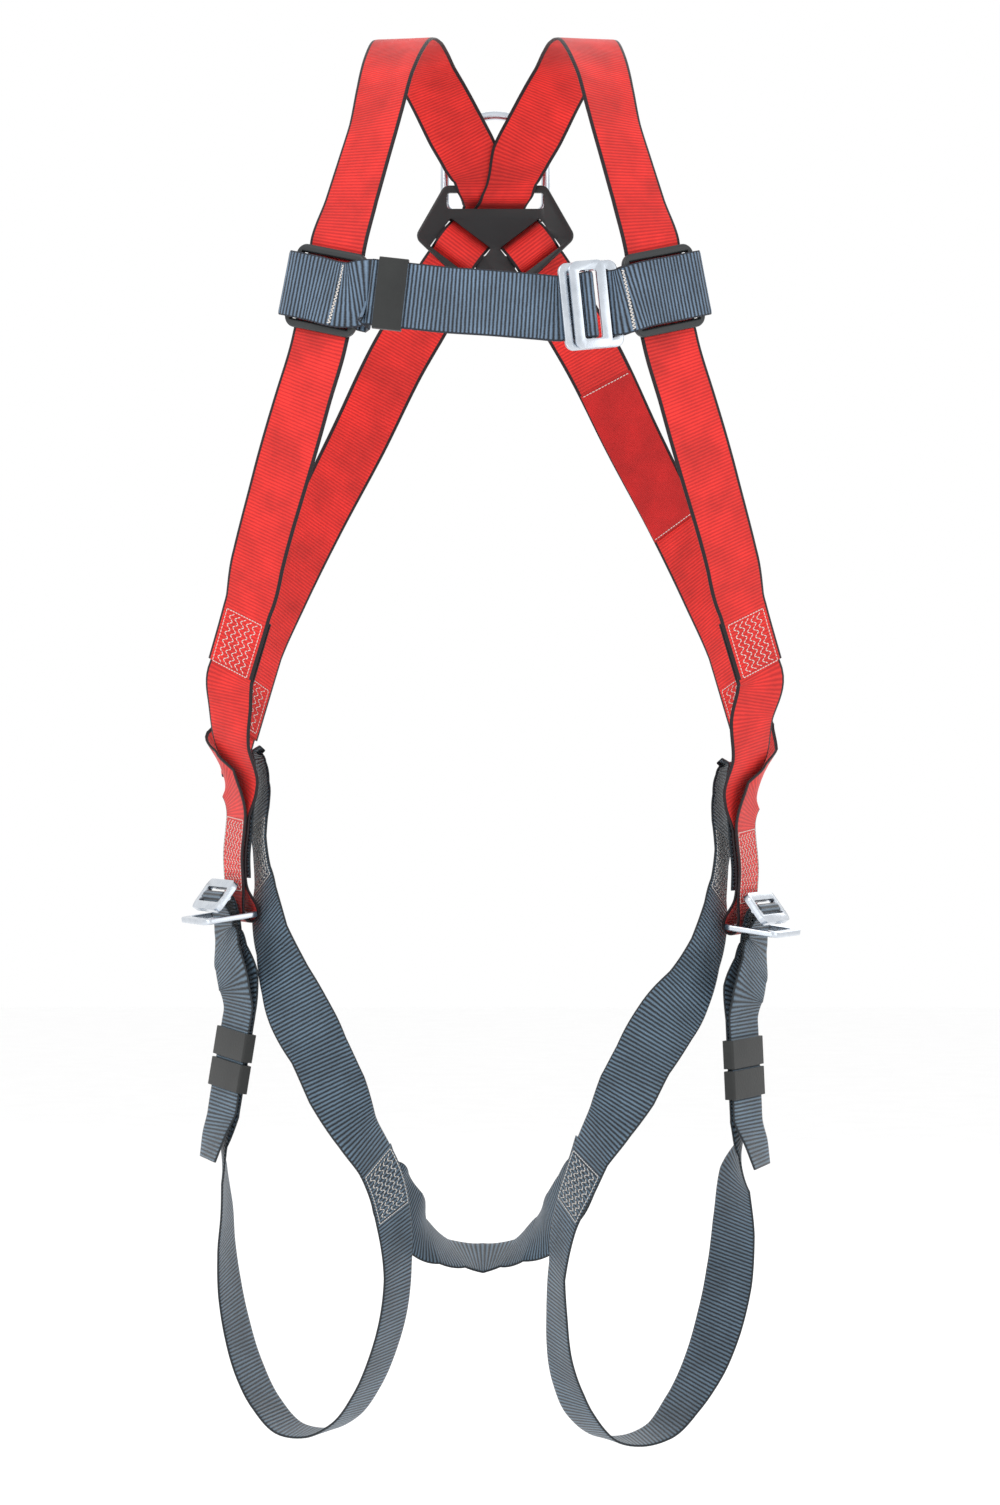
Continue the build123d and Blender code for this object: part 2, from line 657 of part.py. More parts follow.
left_leg_loop = [
    ((44, -29, -879), (-0.23, 0.97, 0)),
    ((44, -25, -909), (-0.3, 0.95, 0)),
    ((46, -20, -939), (-0.36, 0.93, 0)),
    ((52, -13, -964), (-0.45, 0.89, 0)),
    ((61, -8, -984), (-0.5, 0.87, 0)),
    ((79, -3, -1001), (-0.45, 0.89, 0)),
    ((98, 1, -1004), (-0.4, 0.91, 0)),
    ((117, 5, -998), (-0.45, 0.89, 0)),
    ((135, 9, -978), (-0.55, 0.83, 0)),
    ((151, 12, -950), (-0.65, 0.76, 0)),
    ((161, 12, -921), (-0.7, 0.71, 0)),
    ((168, 9, -888), (-0.7, 0.71, 0)),
    ((171, 3, -852), (-0.62, 0.78, 0)),
    ((171.5, -6, -816), (-0.42, 0.91, 0)),
    ((175.5, -16, -790), (0.1, 0.99, 0)),
]
left_keeper_run = [
    ((177.5, -22, -771), (0.5, 0.87, 0)),
    ((177.2, -22, -764), (0.5, 0.87, 0)),
    ((174.6, -22, -708), (0.5, 0.87, 0)),
    ((174.3, -22, -701), (0.5, 0.87, 0)),
]
left_buckle_run = [
    ((175, -18, -683), (0.6, 0.8, 0)),
    ((179.5, -10, -665), (0.45, 0.89, 0)),
    ((182.1, -4.9, -649), (0.36, 0.93, 0)),
    ((183.4, -5.2, -638), (0.36, 0.93, 0)),
]


def male_threading(side):
    """Half a turn over the male frame's middle bar, from the inner side to the outer."""
    along, bars, outwards = leg_male_axes[side]
    inner = tuple(-value for value in along)
    across = to_side(side, (-0.36, 0.933, 0))
    return round_bar(leg_bar[side], inner, outwards, male_fold, across, 180)


def free_end(keeper_run, side):
    """Outside the strap, down through both keepers, and a short way past them."""
    run = list(reversed(beside(keeper_run, -side * layer_step)))
    (x, y, z), across = run[-1]
    tail = [
        ((x + side * 6, y - 3, z - 18), to_side(side, (-0.4, 0.92, 0))),
        ((x + side * 10, y - 4, z - 34), to_side(side, (-0.3, 0.95, 0))),
    ]
    return run + tail


thigh_right = eye + right_thigh_front + right_leg_loop + right_keeper_run + right_buckle_run
thigh_right += male_threading(-1) + right_free_start + free_end(right_keeper_run, -1)
thigh_left = mirrored(eye, left_shift) + left_thigh_front + left_leg_loop + left_keeper_run
thigh_left += left_buckle_run + male_threading(1) + mirrored(right_free_start, left_shift)
thigh_left += free_end(left_keeper_run, 1)

with BuildPart() as thigh_strap_right:
    sew_strap(thigh_right, webbing_width, webbing_thickness)
thigh_strap_right.part.label = "thigh_strap_right"
export_step(thigh_strap_right.part, "parts/thigh_strap_right.step")

with BuildPart() as thigh_strap_left:
    sew_strap(thigh_left, webbing_width, webbing_thickness)
thigh_strap_left.part.label = "thigh_strap_left"
export_step(thigh_strap_left.part, "parts/thigh_strap_left.step")

# ---------------------------------------------------------------- seat strap
# Sewn behind both thigh straps at the crotch, and slack between them.
seat_right = beside(right_thigh_front[-3:], -layer_step - 2.4)[:2]
seat_left = beside(left_thigh_front[-3:], layer_step + 1.3)[:2]
slide_back = 7.0      # how far its sewn ends stand behind the thigh straps' rear edges


def moved_back(route):
    stations = []
    for point, across in route:
        stations.append((tuple(Vector(*point) + unit(Vector(*across)) * slide_back), across))
    return stations


seat = moved_back(seat_right) + [
    ((-71.2, -22.7, -828), (0.55, 0.8, 0.15)),
    ((-59.5, -4, -845), (0.45, 0.7, 0.5)),
    ((-45.5, 21, -863), (0.12, 0.955, 0.27)),
    ((-28, 36, -874), (0, 0.975, 0.22)),
    ((-9, 41, -878), (0, 0.93, 0.36)),
    ((9, 37, -874), (0, 0.975, 0.22)),
    ((25.5, 24, -862), (-0.12, 0.955, 0.27)),
    ((41.5, -4, -846), (-0.34, 0.75, 0.5)),
    ((51.2, -23.2, -829), (-0.42, 0.86, 0.15)),
] + list(reversed(moved_back(seat_left)))
with BuildPart() as seat_strap:
    sew_strap(seat, webbing_width, webbing_thickness)
seat_strap.part.label = "seat_strap"
export_step(seat_strap.part, "parts/seat_strap.step")

# ---------------------------------------------------------------- keepers
keeper_window = (webbing_width + 2 * keeper_gap, 2 * webbing_thickness + layer_gap + 2 * keeper_gap)


def elastic_keeper(run, side, share, length):
    """A flat elastic band round two layers, at a share of the way along a straight run."""
    start, end = Vector(*run[0][0]), Vector(*run[-1][0])
    along = unit(end - start)
    wide = unit(Vector(*run[0][1]))
    outwards = unit(along.cross(wide)) * (-side)
    centre = start + (end - start) * share + outwards * half_layer
    with BuildSketch(Plane(tuple(centre), x_dir=tuple(wide), z_dir=tuple(along))) as band:
        RectangleRounded(keeper_window[0] + 2 * keeper_wall, keeper_window[1] + 2 * keeper_wall, 1.8)
        Rectangle(*keeper_window, mode=Mode.SUBTRACT)
    extrude(band.sketch, amount=length / 2, both=True)


with BuildPart() as chest_keeper:
    elastic_keeper(chest_main[:5], -1, 0.32, chest_keeper_length)
chest_keeper.part.label = "chest_keeper"
export_step(chest_keeper.part, "parts/chest_keeper.step")

for side, name, run in ((-1, "right", right_keeper_run), (1, "left", left_keeper_run)):
    for place, share in (("lower", 0.36), ("upper", 0.67)):
        with BuildPart() as leg_keeper:
            elastic_keeper(run, side, share, leg_keeper_length)
        leg_keeper.part.label = f"leg_keeper_{place}_{name}"
        export_step(leg_keeper.part, f"parts/leg_keeper_{place}_{name}.step")

# ---------------------------------------------------------------- label sleeve
# A thin ribbon sewn on the wearer's side of the lower back strap, holding the label.
label_width = 42.0
label_thickness = 0.8
label_level = (webbing_thickness + label_thickness) / 2 + layer_gap
label_top = -236.0
label_bottom = -346.0
label_faces = []
for plane, kept in strap_sections(shoulder_right):
    on_back = plane.origin.X > 60 and label_bottom < plane.origin.Z < label_top
    if on_back:
        with BuildSketch(plane) as ribbon:
            with Locations((0, label_level)):
                Rectangle(label_width, label_thickness)
        label_faces.append(ribbon.sketch.face())
with BuildPart() as label_sleeve:
    loft(label_faces, ruled=True)
label_sleeve.part.label = "label_sleeve"
export_step(label_sleeve.part, "parts/label_sleeve.step")
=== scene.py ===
import math

import bmesh
import bpy
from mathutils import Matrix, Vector


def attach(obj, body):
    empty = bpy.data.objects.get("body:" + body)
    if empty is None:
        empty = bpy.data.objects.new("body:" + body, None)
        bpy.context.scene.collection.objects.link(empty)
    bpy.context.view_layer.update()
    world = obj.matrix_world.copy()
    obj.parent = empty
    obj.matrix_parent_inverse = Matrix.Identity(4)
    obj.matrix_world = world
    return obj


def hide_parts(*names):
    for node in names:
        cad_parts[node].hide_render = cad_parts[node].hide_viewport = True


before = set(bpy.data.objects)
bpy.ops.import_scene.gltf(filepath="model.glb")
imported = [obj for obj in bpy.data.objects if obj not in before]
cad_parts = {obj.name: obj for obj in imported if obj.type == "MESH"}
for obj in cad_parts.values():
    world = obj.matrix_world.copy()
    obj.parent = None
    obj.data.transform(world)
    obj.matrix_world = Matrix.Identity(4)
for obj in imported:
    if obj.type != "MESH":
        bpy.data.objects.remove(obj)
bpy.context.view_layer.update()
bpy.ops.object.select_all(action="DESELECT")

# ---------------------------------------------------------------- where it is seen from
# The harness stands in the air in its worn shape, and is seen level from straight in front,
# from three metres off, so that the front and the back straps have nearly the same scale.
seen_from = bpy.data.cameras.new("front_view")
seen_from.sensor_fit = "VERTICAL"
seen_from.sensor_height = 36.0
seen_from.lens = 100.2
seen_from.clip_end = 30.0
camera = bpy.data.objects.new("front_view", seen_from)
camera.location = (0.0035, -3.0, -0.511)
camera.rotation_euler = (math.radians(90), 0, 0)
bpy.context.collection.objects.link(camera)
bpy.context.scene.camera = camera


def soft_lamp(name, place, aim, size, watts):
    """A large square lamp that gives soft edges to the shades."""
    lamp = bpy.data.lights.new(name, "AREA")
    lamp.size = size
    lamp.energy = watts
    holder = bpy.data.objects.new(name, lamp)
    holder.location = place
    holder.rotation_euler = (Vector(aim) - Vector(place)).to_track_quat("-Z", "Y").to_euler()
    bpy.context.collection.objects.link(holder)


middle = (0, 0, -0.5)
soft_lamp("key_lamp", (-1.5, -2.6, 1.2), middle, 1.6, 30)
soft_lamp("fill_lamp", (2.2, -2.0, -0.3), middle, 2.0, 12)
soft_lamp("back_lamp", (0.6, 2.4, 0.9), middle, 1.8, 16)
soft_lamp("low_lamp", (-0.6, -1.9, -1.0), (0, 0, -0.8), 1.2, 4)
world = bpy.data.worlds.new("studio")
world.use_nodes = True
world.node_tree.nodes["Background"].inputs["Color"].default_value = (1, 1, 1, 1)
world.node_tree.nodes["Background"].inputs["Strength"].default_value = 1.0
bpy.context.scene.world = world
bpy.context.scene.view_settings.view_transform = "Standard"


# ---------------------------------------------------------------- floor
# A pale matte sheet of studio paper, well below the harness. Its fine grain is hardly seen,
# and it gives the eye a plain white ground.
def linear(colour, alpha=1.0):
    """An sRGB hex value as a linear colour."""
    parts = [int(colour[i : i + 2], 16) / 255 for i in (1, 3, 5)]
    parts = [p / 12.92 if p <= 0.04045 else ((p + 0.055) / 1.055) ** 2.4 for p in parts]
    return (*parts, alpha)


def add(tree, kind, inputs=None, **settings):
    """A node with its settings. An input is a value, or another node's output to link."""
    made = tree.nodes.new(kind)
    for key, value in settings.items():
        setattr(made, key, value)
    for key, value in (inputs or {}).items():
        if isinstance(value, bpy.types.NodeSocket):
            tree.links.new(value, made.inputs[key])
        else:
            made.inputs[key].default_value = value
    return made


def new_finish(name):
    """An empty material: its node tree, its shader, and itself."""
    finish = bpy.data.materials.new(name)
    finish.use_nodes = True
    tree = finish.node_tree
    tree.nodes.clear()
    shader = add(tree, "ShaderNodeBsdfPrincipled")
    add(tree, "ShaderNodeOutputMaterial", {"Surface": shader.outputs["BSDF"]})
    return finish, tree, shader


paper, tree, shader = new_finish("matte_studio_paper")
grain = add(tree, "ShaderNodeTexNoise", {"Scale": 220.0, "Detail": 3.0})
tint = add(tree, "ShaderNodeMix", {"Factor": grain.outputs["Fac"]}, data_type="RGBA")
tint.inputs[6].default_value = linear("#FAFAFA")
tint.inputs[7].default_value = linear("#FFFFFF")
tree.links.new(tint.outputs[2], shader.inputs["Base Color"])
shader.inputs["Roughness"].default_value = 0.9

floor_level = -1.12
bpy.ops.mesh.primitive_grid_add(
    x_subdivisions=8, y_subdivisions=8, size=14, location=(0, 0, floor_level)
)
floor = bpy.context.object
floor.name = "studio_floor"
floor.data.materials.append(paper)
bpy.ops.object.transform_apply(location=True, rotation=True, scale=True)
floor.select_set(False)

# ---------------------------------------------------------------- shoulder straps
# Red polyester harness webbing, 45 mm wide, with a dark line along each edge. Each strap is
# one length: from the front hip up through the chest slide, over the shoulder, round the
# D-ring's bar, through the back plate and down to the other hip. Sizes are in millimetres.
webbing_width = 45.0
webbing_thickness = 2.0
woven_thickness = 1.9     # between the crests of the ribs on the two faces
layer_gap = 0.4
fold_gap = 0.4
layer_step = webbing_thickness + layer_gap
mm = 0.001


def unit(vector):
    """The same direction, one long."""
    return vector.normalized()


def strap_line(route, spacing=3.0):
    """Close sections along a strap: middle, direction across, face direction, width, distance.

    A route is a list of stations: a point, and the direction across the strap, as long as the
    share of the width that is kept. A third value of 1 holds that direction at a slant.
    """
    points = [Vector(station[0]) for station in route]
    across = [Vector(station[1]) for station in route]
    shares = [direction.length for direction in across]
    slants = [station[2] if len(station) > 2 else 0.0 for station in route]
    spans = [(b - a).length for a, b in zip(points, points[1:])]
    chords = [(b - a) / span for a, b, span in zip(points, points[1:], spans)]
    tangents = [chords[0]]
    for before, after, left, right in zip(chords, chords[1:], spans, spans[1:]):
        tangents.append((before * right + after * left) / (left + right))
    tangents.append(chords[-1])
    line = []
    for i, span in enumerate(spans):
        steps = max(2, math.ceil(span / spacing))
        last = i == len(spans) - 1
        for step in range(steps + 1 if last else steps):
            u = step / steps
            start = points[i] * (2 * u**3 - 3 * u**2 + 1) + points[i + 1] * (3 * u**2 - 2 * u**3)
            ease = tangents[i] * (u**3 - 2 * u**2 + u) + tangents[i + 1] * (u**3 - u**2)
            place = start + ease * span
            slope = (points[i + 1] - points[i]) * (6 * u - 6 * u**2)
            bend = tangents[i] * (3 * u**2 - 4 * u + 1) + tangents[i + 1] * (3 * u**2 - 2 * u)
            travel = unit(slope + bend * span)
            wide = across[i] * (1 - u) + across[i + 1] * u
            slant = slants[i] * (1 - u) + slants[i + 1] * u
            side = unit(wide)
            side = unit(side - travel * (side.dot(travel) * (1 - slant)))
            ahead = travel - side * travel.dot(side)
            kept = (shares[i] * (1 - u) + shares[i + 1] * u) / ahead.length
            face = unit(ahead).cross(side)
            run = line[-1][4] + (place - line[-1][0]).length if line else 0.0
            line.append((place, side, face, kept, run))
    return line


def weave(name, line, width, thickness, finish, body="webbing"):
    """Webbing along a line of sections: a closed band with soft selvedges and a map on it."""
    shares = (-1.0, -0.975, -0.9, -0.72, -0.5, -0.25, 0.0, 0.25, 0.5, 0.72, 0.9, 0.975, 1.0)
    swell = (0.25, 0.72, 1.0, 0.97, 0.95, 0.94, 0.94, 0.94, 0.95, 0.97, 1.0, 0.72, 0.25)
    shape = bmesh.new()
    cloth = shape.loops.layers.uv.new("cloth")
    rings = []
    for place, side, face, kept, run in line:
        ring = []
        for turn in (1, -1):
            order = zip(shares, swell) if turn > 0 else zip(shares[::-1], swell[::-1])
            for share, full in order:
                across = share * width / 2
                point = place + side * (across * kept) + face * (turn * full * thickness / 2)
                ring.append((shape.verts.new(point * mm), (across * mm, run * mm)))
        rings.append(ring)

    def patch(corners):
        made = shape.faces.new([corner[0] for corner in corners])
        made.smooth = True
        for loop, corner in zip(made.loops, corners):
            loop[cloth].uv = corner[1]

    count = len(rings[0])
    for a, b in zip(rings, rings[1:]):
        for i in range(count):
            j = (i + 1) % count
            patch((a[i], a[j], b[j], b[i]))
    columns = len(shares)
    for ring in (rings[0], rings[-1]):
        for i in range(columns - 1):
            patch((ring[i], ring[i + 1], ring[count - 2 - i], ring[count - 1 - i]))
    bmesh.ops.recalc_face_normals(shape, faces=shape.faces)
    band = bpy.data.meshes.new(name)
    shape.to_mesh(band)
    shape.free()
    strap = bpy.data.objects.new(name, band)
    bpy.context.collection.objects.link(strap)
    strap.data.materials.append(finish)
    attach(strap, body)
    return strap


yarn_spacing = 0.0011     # metres; the real yarns are finer, and wouldn't show


def woven(name, crest_highlight, hollow_shade, edge, edge_width, rib, depth, roughness):
    """Woven polyester: ribs across the strap, fine yarns along it, and its edge lines. The rib
    crests get a painted highlight and the hollows between them painted shade.
    """
    finish, tree, shader = new_finish(name)
    cloth = add(tree, "ShaderNodeUVMap", uv_map="cloth")
    parts = add(tree, "ShaderNodeSeparateXYZ", {0: cloth.outputs["UV"]})
    wander = add(
        tree, "ShaderNodeTexNoise", {"Vector": cloth.outputs["UV"], "Scale": 260.0, "Detail": 2.0}
    )
    shifted = add(
        tree,
        "ShaderNodeMath",
        {0: wander.outputs["Fac"], 1: rib * 0.00022, 2: parts.outputs["Y"]},
        operation="MULTIPLY_ADD",
    )
    phase = add(
        tree,
        "ShaderNodeMath",
        {0: shifted.outputs[0], 1: 2 * math.pi / (rib * mm)},
        operation="MULTIPLY",
    )
    wave = add(tree, "ShaderNodeMath", {0: phase.outputs[0]}, operation="SINE")
    ribs = add(
        tree, "ShaderNodeMapRange", {"Value": wave.outputs[0], "From Min": -1.0, "From Max": 1.0}
    )
    yarn_phase = add(
        tree,
        "ShaderNodeMath",
        {0: parts.outputs["X"], 1: 2 * math.pi / yarn_spacing},
        operation="MULTIPLY",
    )
    yarns = add(tree, "ShaderNodeMath", {0: yarn_phase.outputs[0]}, operation="SINE")
    fibres = add(
        tree, "ShaderNodeTexNoise", {"Vector": cloth.outputs["UV"], "Scale": 900.0, "Detail": 4.0}
    )
    relief = add(
        tree,
        "ShaderNodeMath",
        {0: yarns.outputs[0], 1: 0.07, 2: ribs.outputs["Result"]},
        operation="MULTIPLY_ADD",
    )
    fuzz = add(
        tree,
        "ShaderNodeMath",
        {0: fibres.outputs["Fac"], 1: 0.35, 2: relief.outputs[0]},
        operation="MULTIPLY_ADD",
    )
    spread = add(
        tree, "ShaderNodeMapRange", {"Value": fuzz.outputs[0], "From Min": 0.2, "From Max": 1.15}
    )
    # Painted light: the relief of the ribs mixes the colour from the hollows' painted shade to the
    # crests' painted highlight; the fibre noise in it adds random tone.
    colour = add(tree, "ShaderNodeMix", {"Factor": spread.outputs["Result"]}, data_type="RGBA")
    colour.inputs[6].default_value = linear(hollow_shade)
    colour.inputs[7].default_value = linear(crest_highlight)
    cloud = add(
        tree, "ShaderNodeTexNoise", {"Vector": cloth.outputs["UV"], "Scale": 34.0, "Detail": 3.0}
    )
    shade = add(
        tree,
        "ShaderNodeMapRange",
        {
            "Value": cloud.outputs["Fac"],
            "From Min": 0.3,
            "From Max": 0.7,
            "To Min": 0.72,
            "To Max": 1.12,
        },
    )
    shaded = add(
        tree,
        "ShaderNodeMix",
        {"Factor": 1.0, 6: colour.outputs[2], 7: shade.outputs["Result"]},
        data_type="RGBA",
        blend_type="MULTIPLY",
    )
    reach = add(tree, "ShaderNodeMath", {0: parts.outputs["X"]}, operation="ABSOLUTE")
    start = (webbing_width / 2 - edge_width) * mm
    rim = add(
        tree,
        "ShaderNodeMapRange",
        {"Value": reach.outputs[0], "From Min": start - 0.0002, "From Max": start + 0.0002},
    )
    edged = add(
        tree,
        "ShaderNodeMix",
        {"Factor": rim.outputs["Result"], 6: shaded.outputs[2]},
        data_type="RGBA",
    )
    edged.inputs[7].default_value = linear(edge)
    tree.links.new(edged.outputs[2], shader.inputs["Base Color"])
    bump = add(
        tree,
        "ShaderNodeBump",
        {"Height": fuzz.outputs[0], "Strength": 0.9, "Distance": depth * mm},
    )
    tree.links.new(bump.outputs["Normal"], shader.inputs["Normal"])
    shader.inputs["Roughness"].default_value = roughness
    shader.inputs["Specular IOR Level"].default_value = 0.35
    shader.inputs["Sheen Weight"].default_value = 0.12
    shader.inputs["Sheen Roughness"].default_value = 0.4
    return finish


# Woven polyester, dyed red: the fine ribs show as faint lines across the strap, painted as a
# lighter highlight on their crests and darker shade in their hollows.
red_webbing = woven("red_woven_polyester", "#E62E26", "#BE1A1A", "#1A0E14", 2.4, 2.4, 0.16, 0.62)

# The back plate's slots and the D-ring's bar, which the straps are threaded through.
plate_thickness = 5.0
plate_inner_y = 112.0
top_slot_height = 12.0
top_slot_z = -101.0
pair_x = 26.0
pair_z = -135.5
bridge_width = 10.0
pair_slot_width = 8.0
squeezed = 0.8
ring_section = 6.5
ring_bar_z = -109.5
ring_clearance = 0.35
plate_outer_y = plate_inner_y + plate_thickness
lean = math.radians(37.0)
ring_bar_y = plate_outer_y + ring_clearance + ring_section / 2
pair_offset = (bridge_width + pair_slot_width) / 2
fold_radius = ring_section / 2 + 1.5 * fold_gap + webbing_thickness / 2
bridge_y = plate_inner_y - webbing_thickness / 2 - fold_gap
back_y = plate_outer_y + webbing_thickness / 2 + fold_gap
plate_mid_y = (plate_inner_y + plate_outer_y) / 2

# The chest slides: their bars, and the way they face.
slide_bar = 6.0
slide_thickness = 5.0
slide_centre_bar = 8.0
slide_yaw = 28.0
slide_tilt = 12.7
slide_x = 116.0
slide_y = -116.0
slide_z = -193.0


def beside(route, distance):
    """The same route, moved off its own surface by a distance."""
    moved = []
    for i, station in enumerate(route):
        before = Vector(route[max(i - 1, 0)][0])
        after = Vector(route[min(i + 1, len(route) - 1)][0])
        side = unit(Vector(station[1]))
        normal = unit((after - before).cross(side))
        point = Vector(station[0]) + normal * distance
        moved.append((tuple(point),) + tuple(station[1:]))
    return moved


def round_bar(centre, start, travel, radius, across, turn, steps=4):
    """Stations round a bar: start points from the bar to the strap, travel the way it goes."""
    stations = []
    for step in range(steps + 1):
        angle = math.radians(turn * step / steps)
        spoke = Vector(start) * math.cos(angle) + Vector(travel) * math.sin(angle)
        point = Vector(centre) + spoke * radius
        stations.append((tuple(point), across))
    return stations


def local(origin, axes, values):
    """A point given by its values along three axes from an origin."""
    point = Vector(origin)
    for axis, value in zip(axes, values):
        point = point + Vector(axis) * value
    return tuple(point)


def mirrored(route, shift=(0, 0, 0)):
    """The same route on the wearer's other side."""
    stations = []
    for station in route:
        (x, y, z), (ax, ay, az) = station[:2]
        point = (shift[0] - x, shift[1] + y, shift[2] + z)
        stations.append((point, (ax, -ay, -az)) + tuple(station[2:]))
    return stations


yaw = math.radians(slide_yaw)
tilt = math.radians(slide_tilt)


def slide_axes(side):
    """Across, along and outward directions of the shoulder strap at one chest slide."""
    outward = Vector((side * math.sin(yaw), -math.cos(yaw), 0))
    flat = Vector((math.cos(yaw), side * math.sin(yaw), 0))
    along = flat * (-side * math.sin(tilt)) + Vector((0, 0, 1)) * math.cos(tilt)
    across = flat * math.cos(tilt) + Vector((0, 0, 1)) * (side * math.sin(tilt))
    return tuple(across), tuple(along), tuple(outward)


def slide_centre(side):
    """The middle of the chest slide on one side."""
    return (side * slide_x, slide_y, slide_z)


slide_height = webbing_width + 1.0 + 2 * slide_bar
slide_window = slide_height - 2 * slide_bar
strap_level = (slide_thickness + webbing_thickness) / 2 + fold_gap
loop_level = strap_level + webbing_thickness + 2.5 * layer_gap
bar_level = slide_window / 2 + slide_bar / 2


def strap_through_slide(side):
    """Behind the lower bar, over the middle bar and behind the upper bar, going up."""
    axes = slide_axes(side)
    centre = slide_centre(side)
    turn = slide_centre_bar / 2 + 1.5
    slot_middle = (slide_centre_bar / 2 + slide_window / 2) / 2
    levels = (
        (-bar_level - 8, -strap_level),
        (-slide_window / 2 + 1, -strap_level),
        (-slot_middle, 0),
        (-turn, strap_level),
        (turn, strap_level),
        (slot_middle, 0),
        (slide_window / 2 - 1, -strap_level),
        (bar_level + 8, -strap_level),
    )
    return [(local(centre, axes, (0, up, out)), axes[0]) for up, out in levels]


def plate_crossing(side, layer):
    """Stations from above the plate to below it, for the strap that comes from one side."""
    flat = (squeezed, 0, 0)
    radius = fold_radius + layer * layer_step
    inner_y = bridge_y - (1 - layer) * layer_step
    entry_z = top_slot_z + top_slot_height / 2 - 0.5 - 2.0 * (1 - layer)
    stations = [
        ((side * 12, inner_y, entry_z + 8), flat, 1),
        ((side * 9, inner_y, entry_z), flat, 1),
    ]
    for angle in (80, 45, 5, -35):
        y = ring_bar_y + radius * math.cos(math.radians(angle))
        z = ring_bar_z + radius * math.sin(math.radians(angle))
        stations.append(((side * (z - ring_bar_z) * 0.8, y, z), flat, 1))
    part_lean = lean * 0.3
    half_turned = (squeezed * math.cos(part_lean), 0, -side * squeezed * math.sin(part_lean))
    lifted = layer * 2.4 * layer_step
    stations.append(((-side * 12, back_y + 0.4 + lifted, ring_bar_z - 10), half_turned, 1))
    across = (squeezed * math.cos(lean), 0, -side * squeezed * math.sin(lean))
    for distance, y in (
        (-pair_offset - 4.5, back_y + 1.0 + layer * layer_step),
        (-pair_offset + 0.5, plate_mid_y),
        (-bridge_width / 2 - 0.5, bridge_y),
        (bridge_width / 2 + 0.5, bridge_y),
        (pair_offset - 0.5, plate_mid_y),
        (pair_offset + 3.8, back_y + 0.3),
    ):
        x = -side * (pair_x + distance * math.sin(lean))
        z = pair_z - distance * math.cos(lean)
        stations.append(((x, y, z), across))
    return stations


front_low = [
    ((-187, -41, -452), (0.77, -0.63, 0.1)),
    ((-175, -51, -413), (0.78, -0.62, 0.1)),
    ((-173.1, -52.7, -406.5), (0.78, -0.62, 0.1)),
    ((-166, -65, -377), (0.82, -0.57, 0.1)),
    ((-150, -84, -322), (0.86, -0.51, 0.1)),
    ((-133, -102, -267), (0.87, -0.48, 0.1)),
]
front_high = [
    ((-99, -108, -130), (0.85, -0.52, 0)),
    ((-91, -99, -101), (0.83, -0.56, 0)),
    ((-83, -87, -71), (0.81, -0.58, 0)),
    ((-77, -66, -40), (0.84, -0.52, 0)),
    ((-71, -38, -16), (0.92, -0.38, 0)),
    ((-66, -12, -3), (0.97, -0.24, 0)),
    ((-61, 14, 0), (0.98, -0.19, 0)),
    ((-56, 42, -5), (0.97, -0.2, 0.1)),
    ((-50, 68, -15), (0.93, -0.26, 0.22)),
    ((-40, 87, -31), (0.89, -0.24, 0.36)),
    ((-29, 99, -51), (0.88, -0.16, 0.45)),
]
back_low = [
    ((-168.3, 50, -434), (0.57, 0.8, -0.15)),
    ((-170, 48, -440), (0.57, 0.8, -0.15)),
    ((-185, 30, -494), (0.57, 0.8, -0.15)),
]
shoulder_right = front_low + strap_through_slide(-1) + front_high + [
    ((-18, 106, -71), (0.86, -0.05, 0.45)),
] + plate_crossing(-1, 1) + [
    ((52, 118, -182), (0.86, -0.02, 0.5)),
    ((73, 116, -219), (0.85, -0.15, 0.5)),
    ((101, 106, -278), (0.8, -0.35, 0.48)),
    ((130, 88, -338), (0.72, -0.52, 0.44)),
    ((152, 68, -390), (0.66, -0.64, 0.3)),
] + mirrored(back_low)
shoulder_left = mirrored(front_low) + strap_through_slide(1) + mirrored(front_high) + [
    ((18, 103.5, -71), (0.86, 0.05, -0.45)),
] + plate_crossing(1, 0) + [
    ((-52, 118, -182), (0.86, 0.02, -0.5)),
    ((-73, 116, -219), (0.85, 0.12, -0.5)),
    ((-101, 107, -278), (0.82, 0.3, -0.48)),
    ((-130, 88, -338), (0.74, 0.5, -0.44)),
    ((-152, 68, -390), (0.66, 0.64, -0.3)),
] + back_low

shoulder_lines = {}
for side, route in (("right", shoulder_right), ("left", shoulder_left)):
    shoulder_lines[side] = strap_line(route)
    strap = weave(
        f"shoulder_webbing_{side}",
        shoulder_lines[side],
        webbing_width,
        woven_thickness,
        red_webbing,
    )
    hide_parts(f"shoulder_strap_{side}")

# ---------------------------------------------------------------- hip straps
# The same red webbing: a loop on each hip that joins the shoulder strap's two ends and goes
# down round the fixed bar of the leg buckle.
frame_thickness = 4.0
frame_bar = 6.5
left_shift = (-6, 0, -9)     # the left hip hangs a little lower and nearer the body
hip_out = (-0.933, -0.36, 0)
hip_across = (0.36, -0.933, 0)
hip_bar = (-181, -2, -626)
seam_top = (-182.5, -6)
seam = [
    ((-184, -3.5, -606), hip_across),
    ((-185, -4, -585), hip_across),
    ((-183, -5.7, -563), hip_across),
    (seam_top + (-556,), hip_across),
]
bar_fold = math.hypot(frame_bar, frame_thickness) / 2 + fold_gap + webbing_thickness / 2


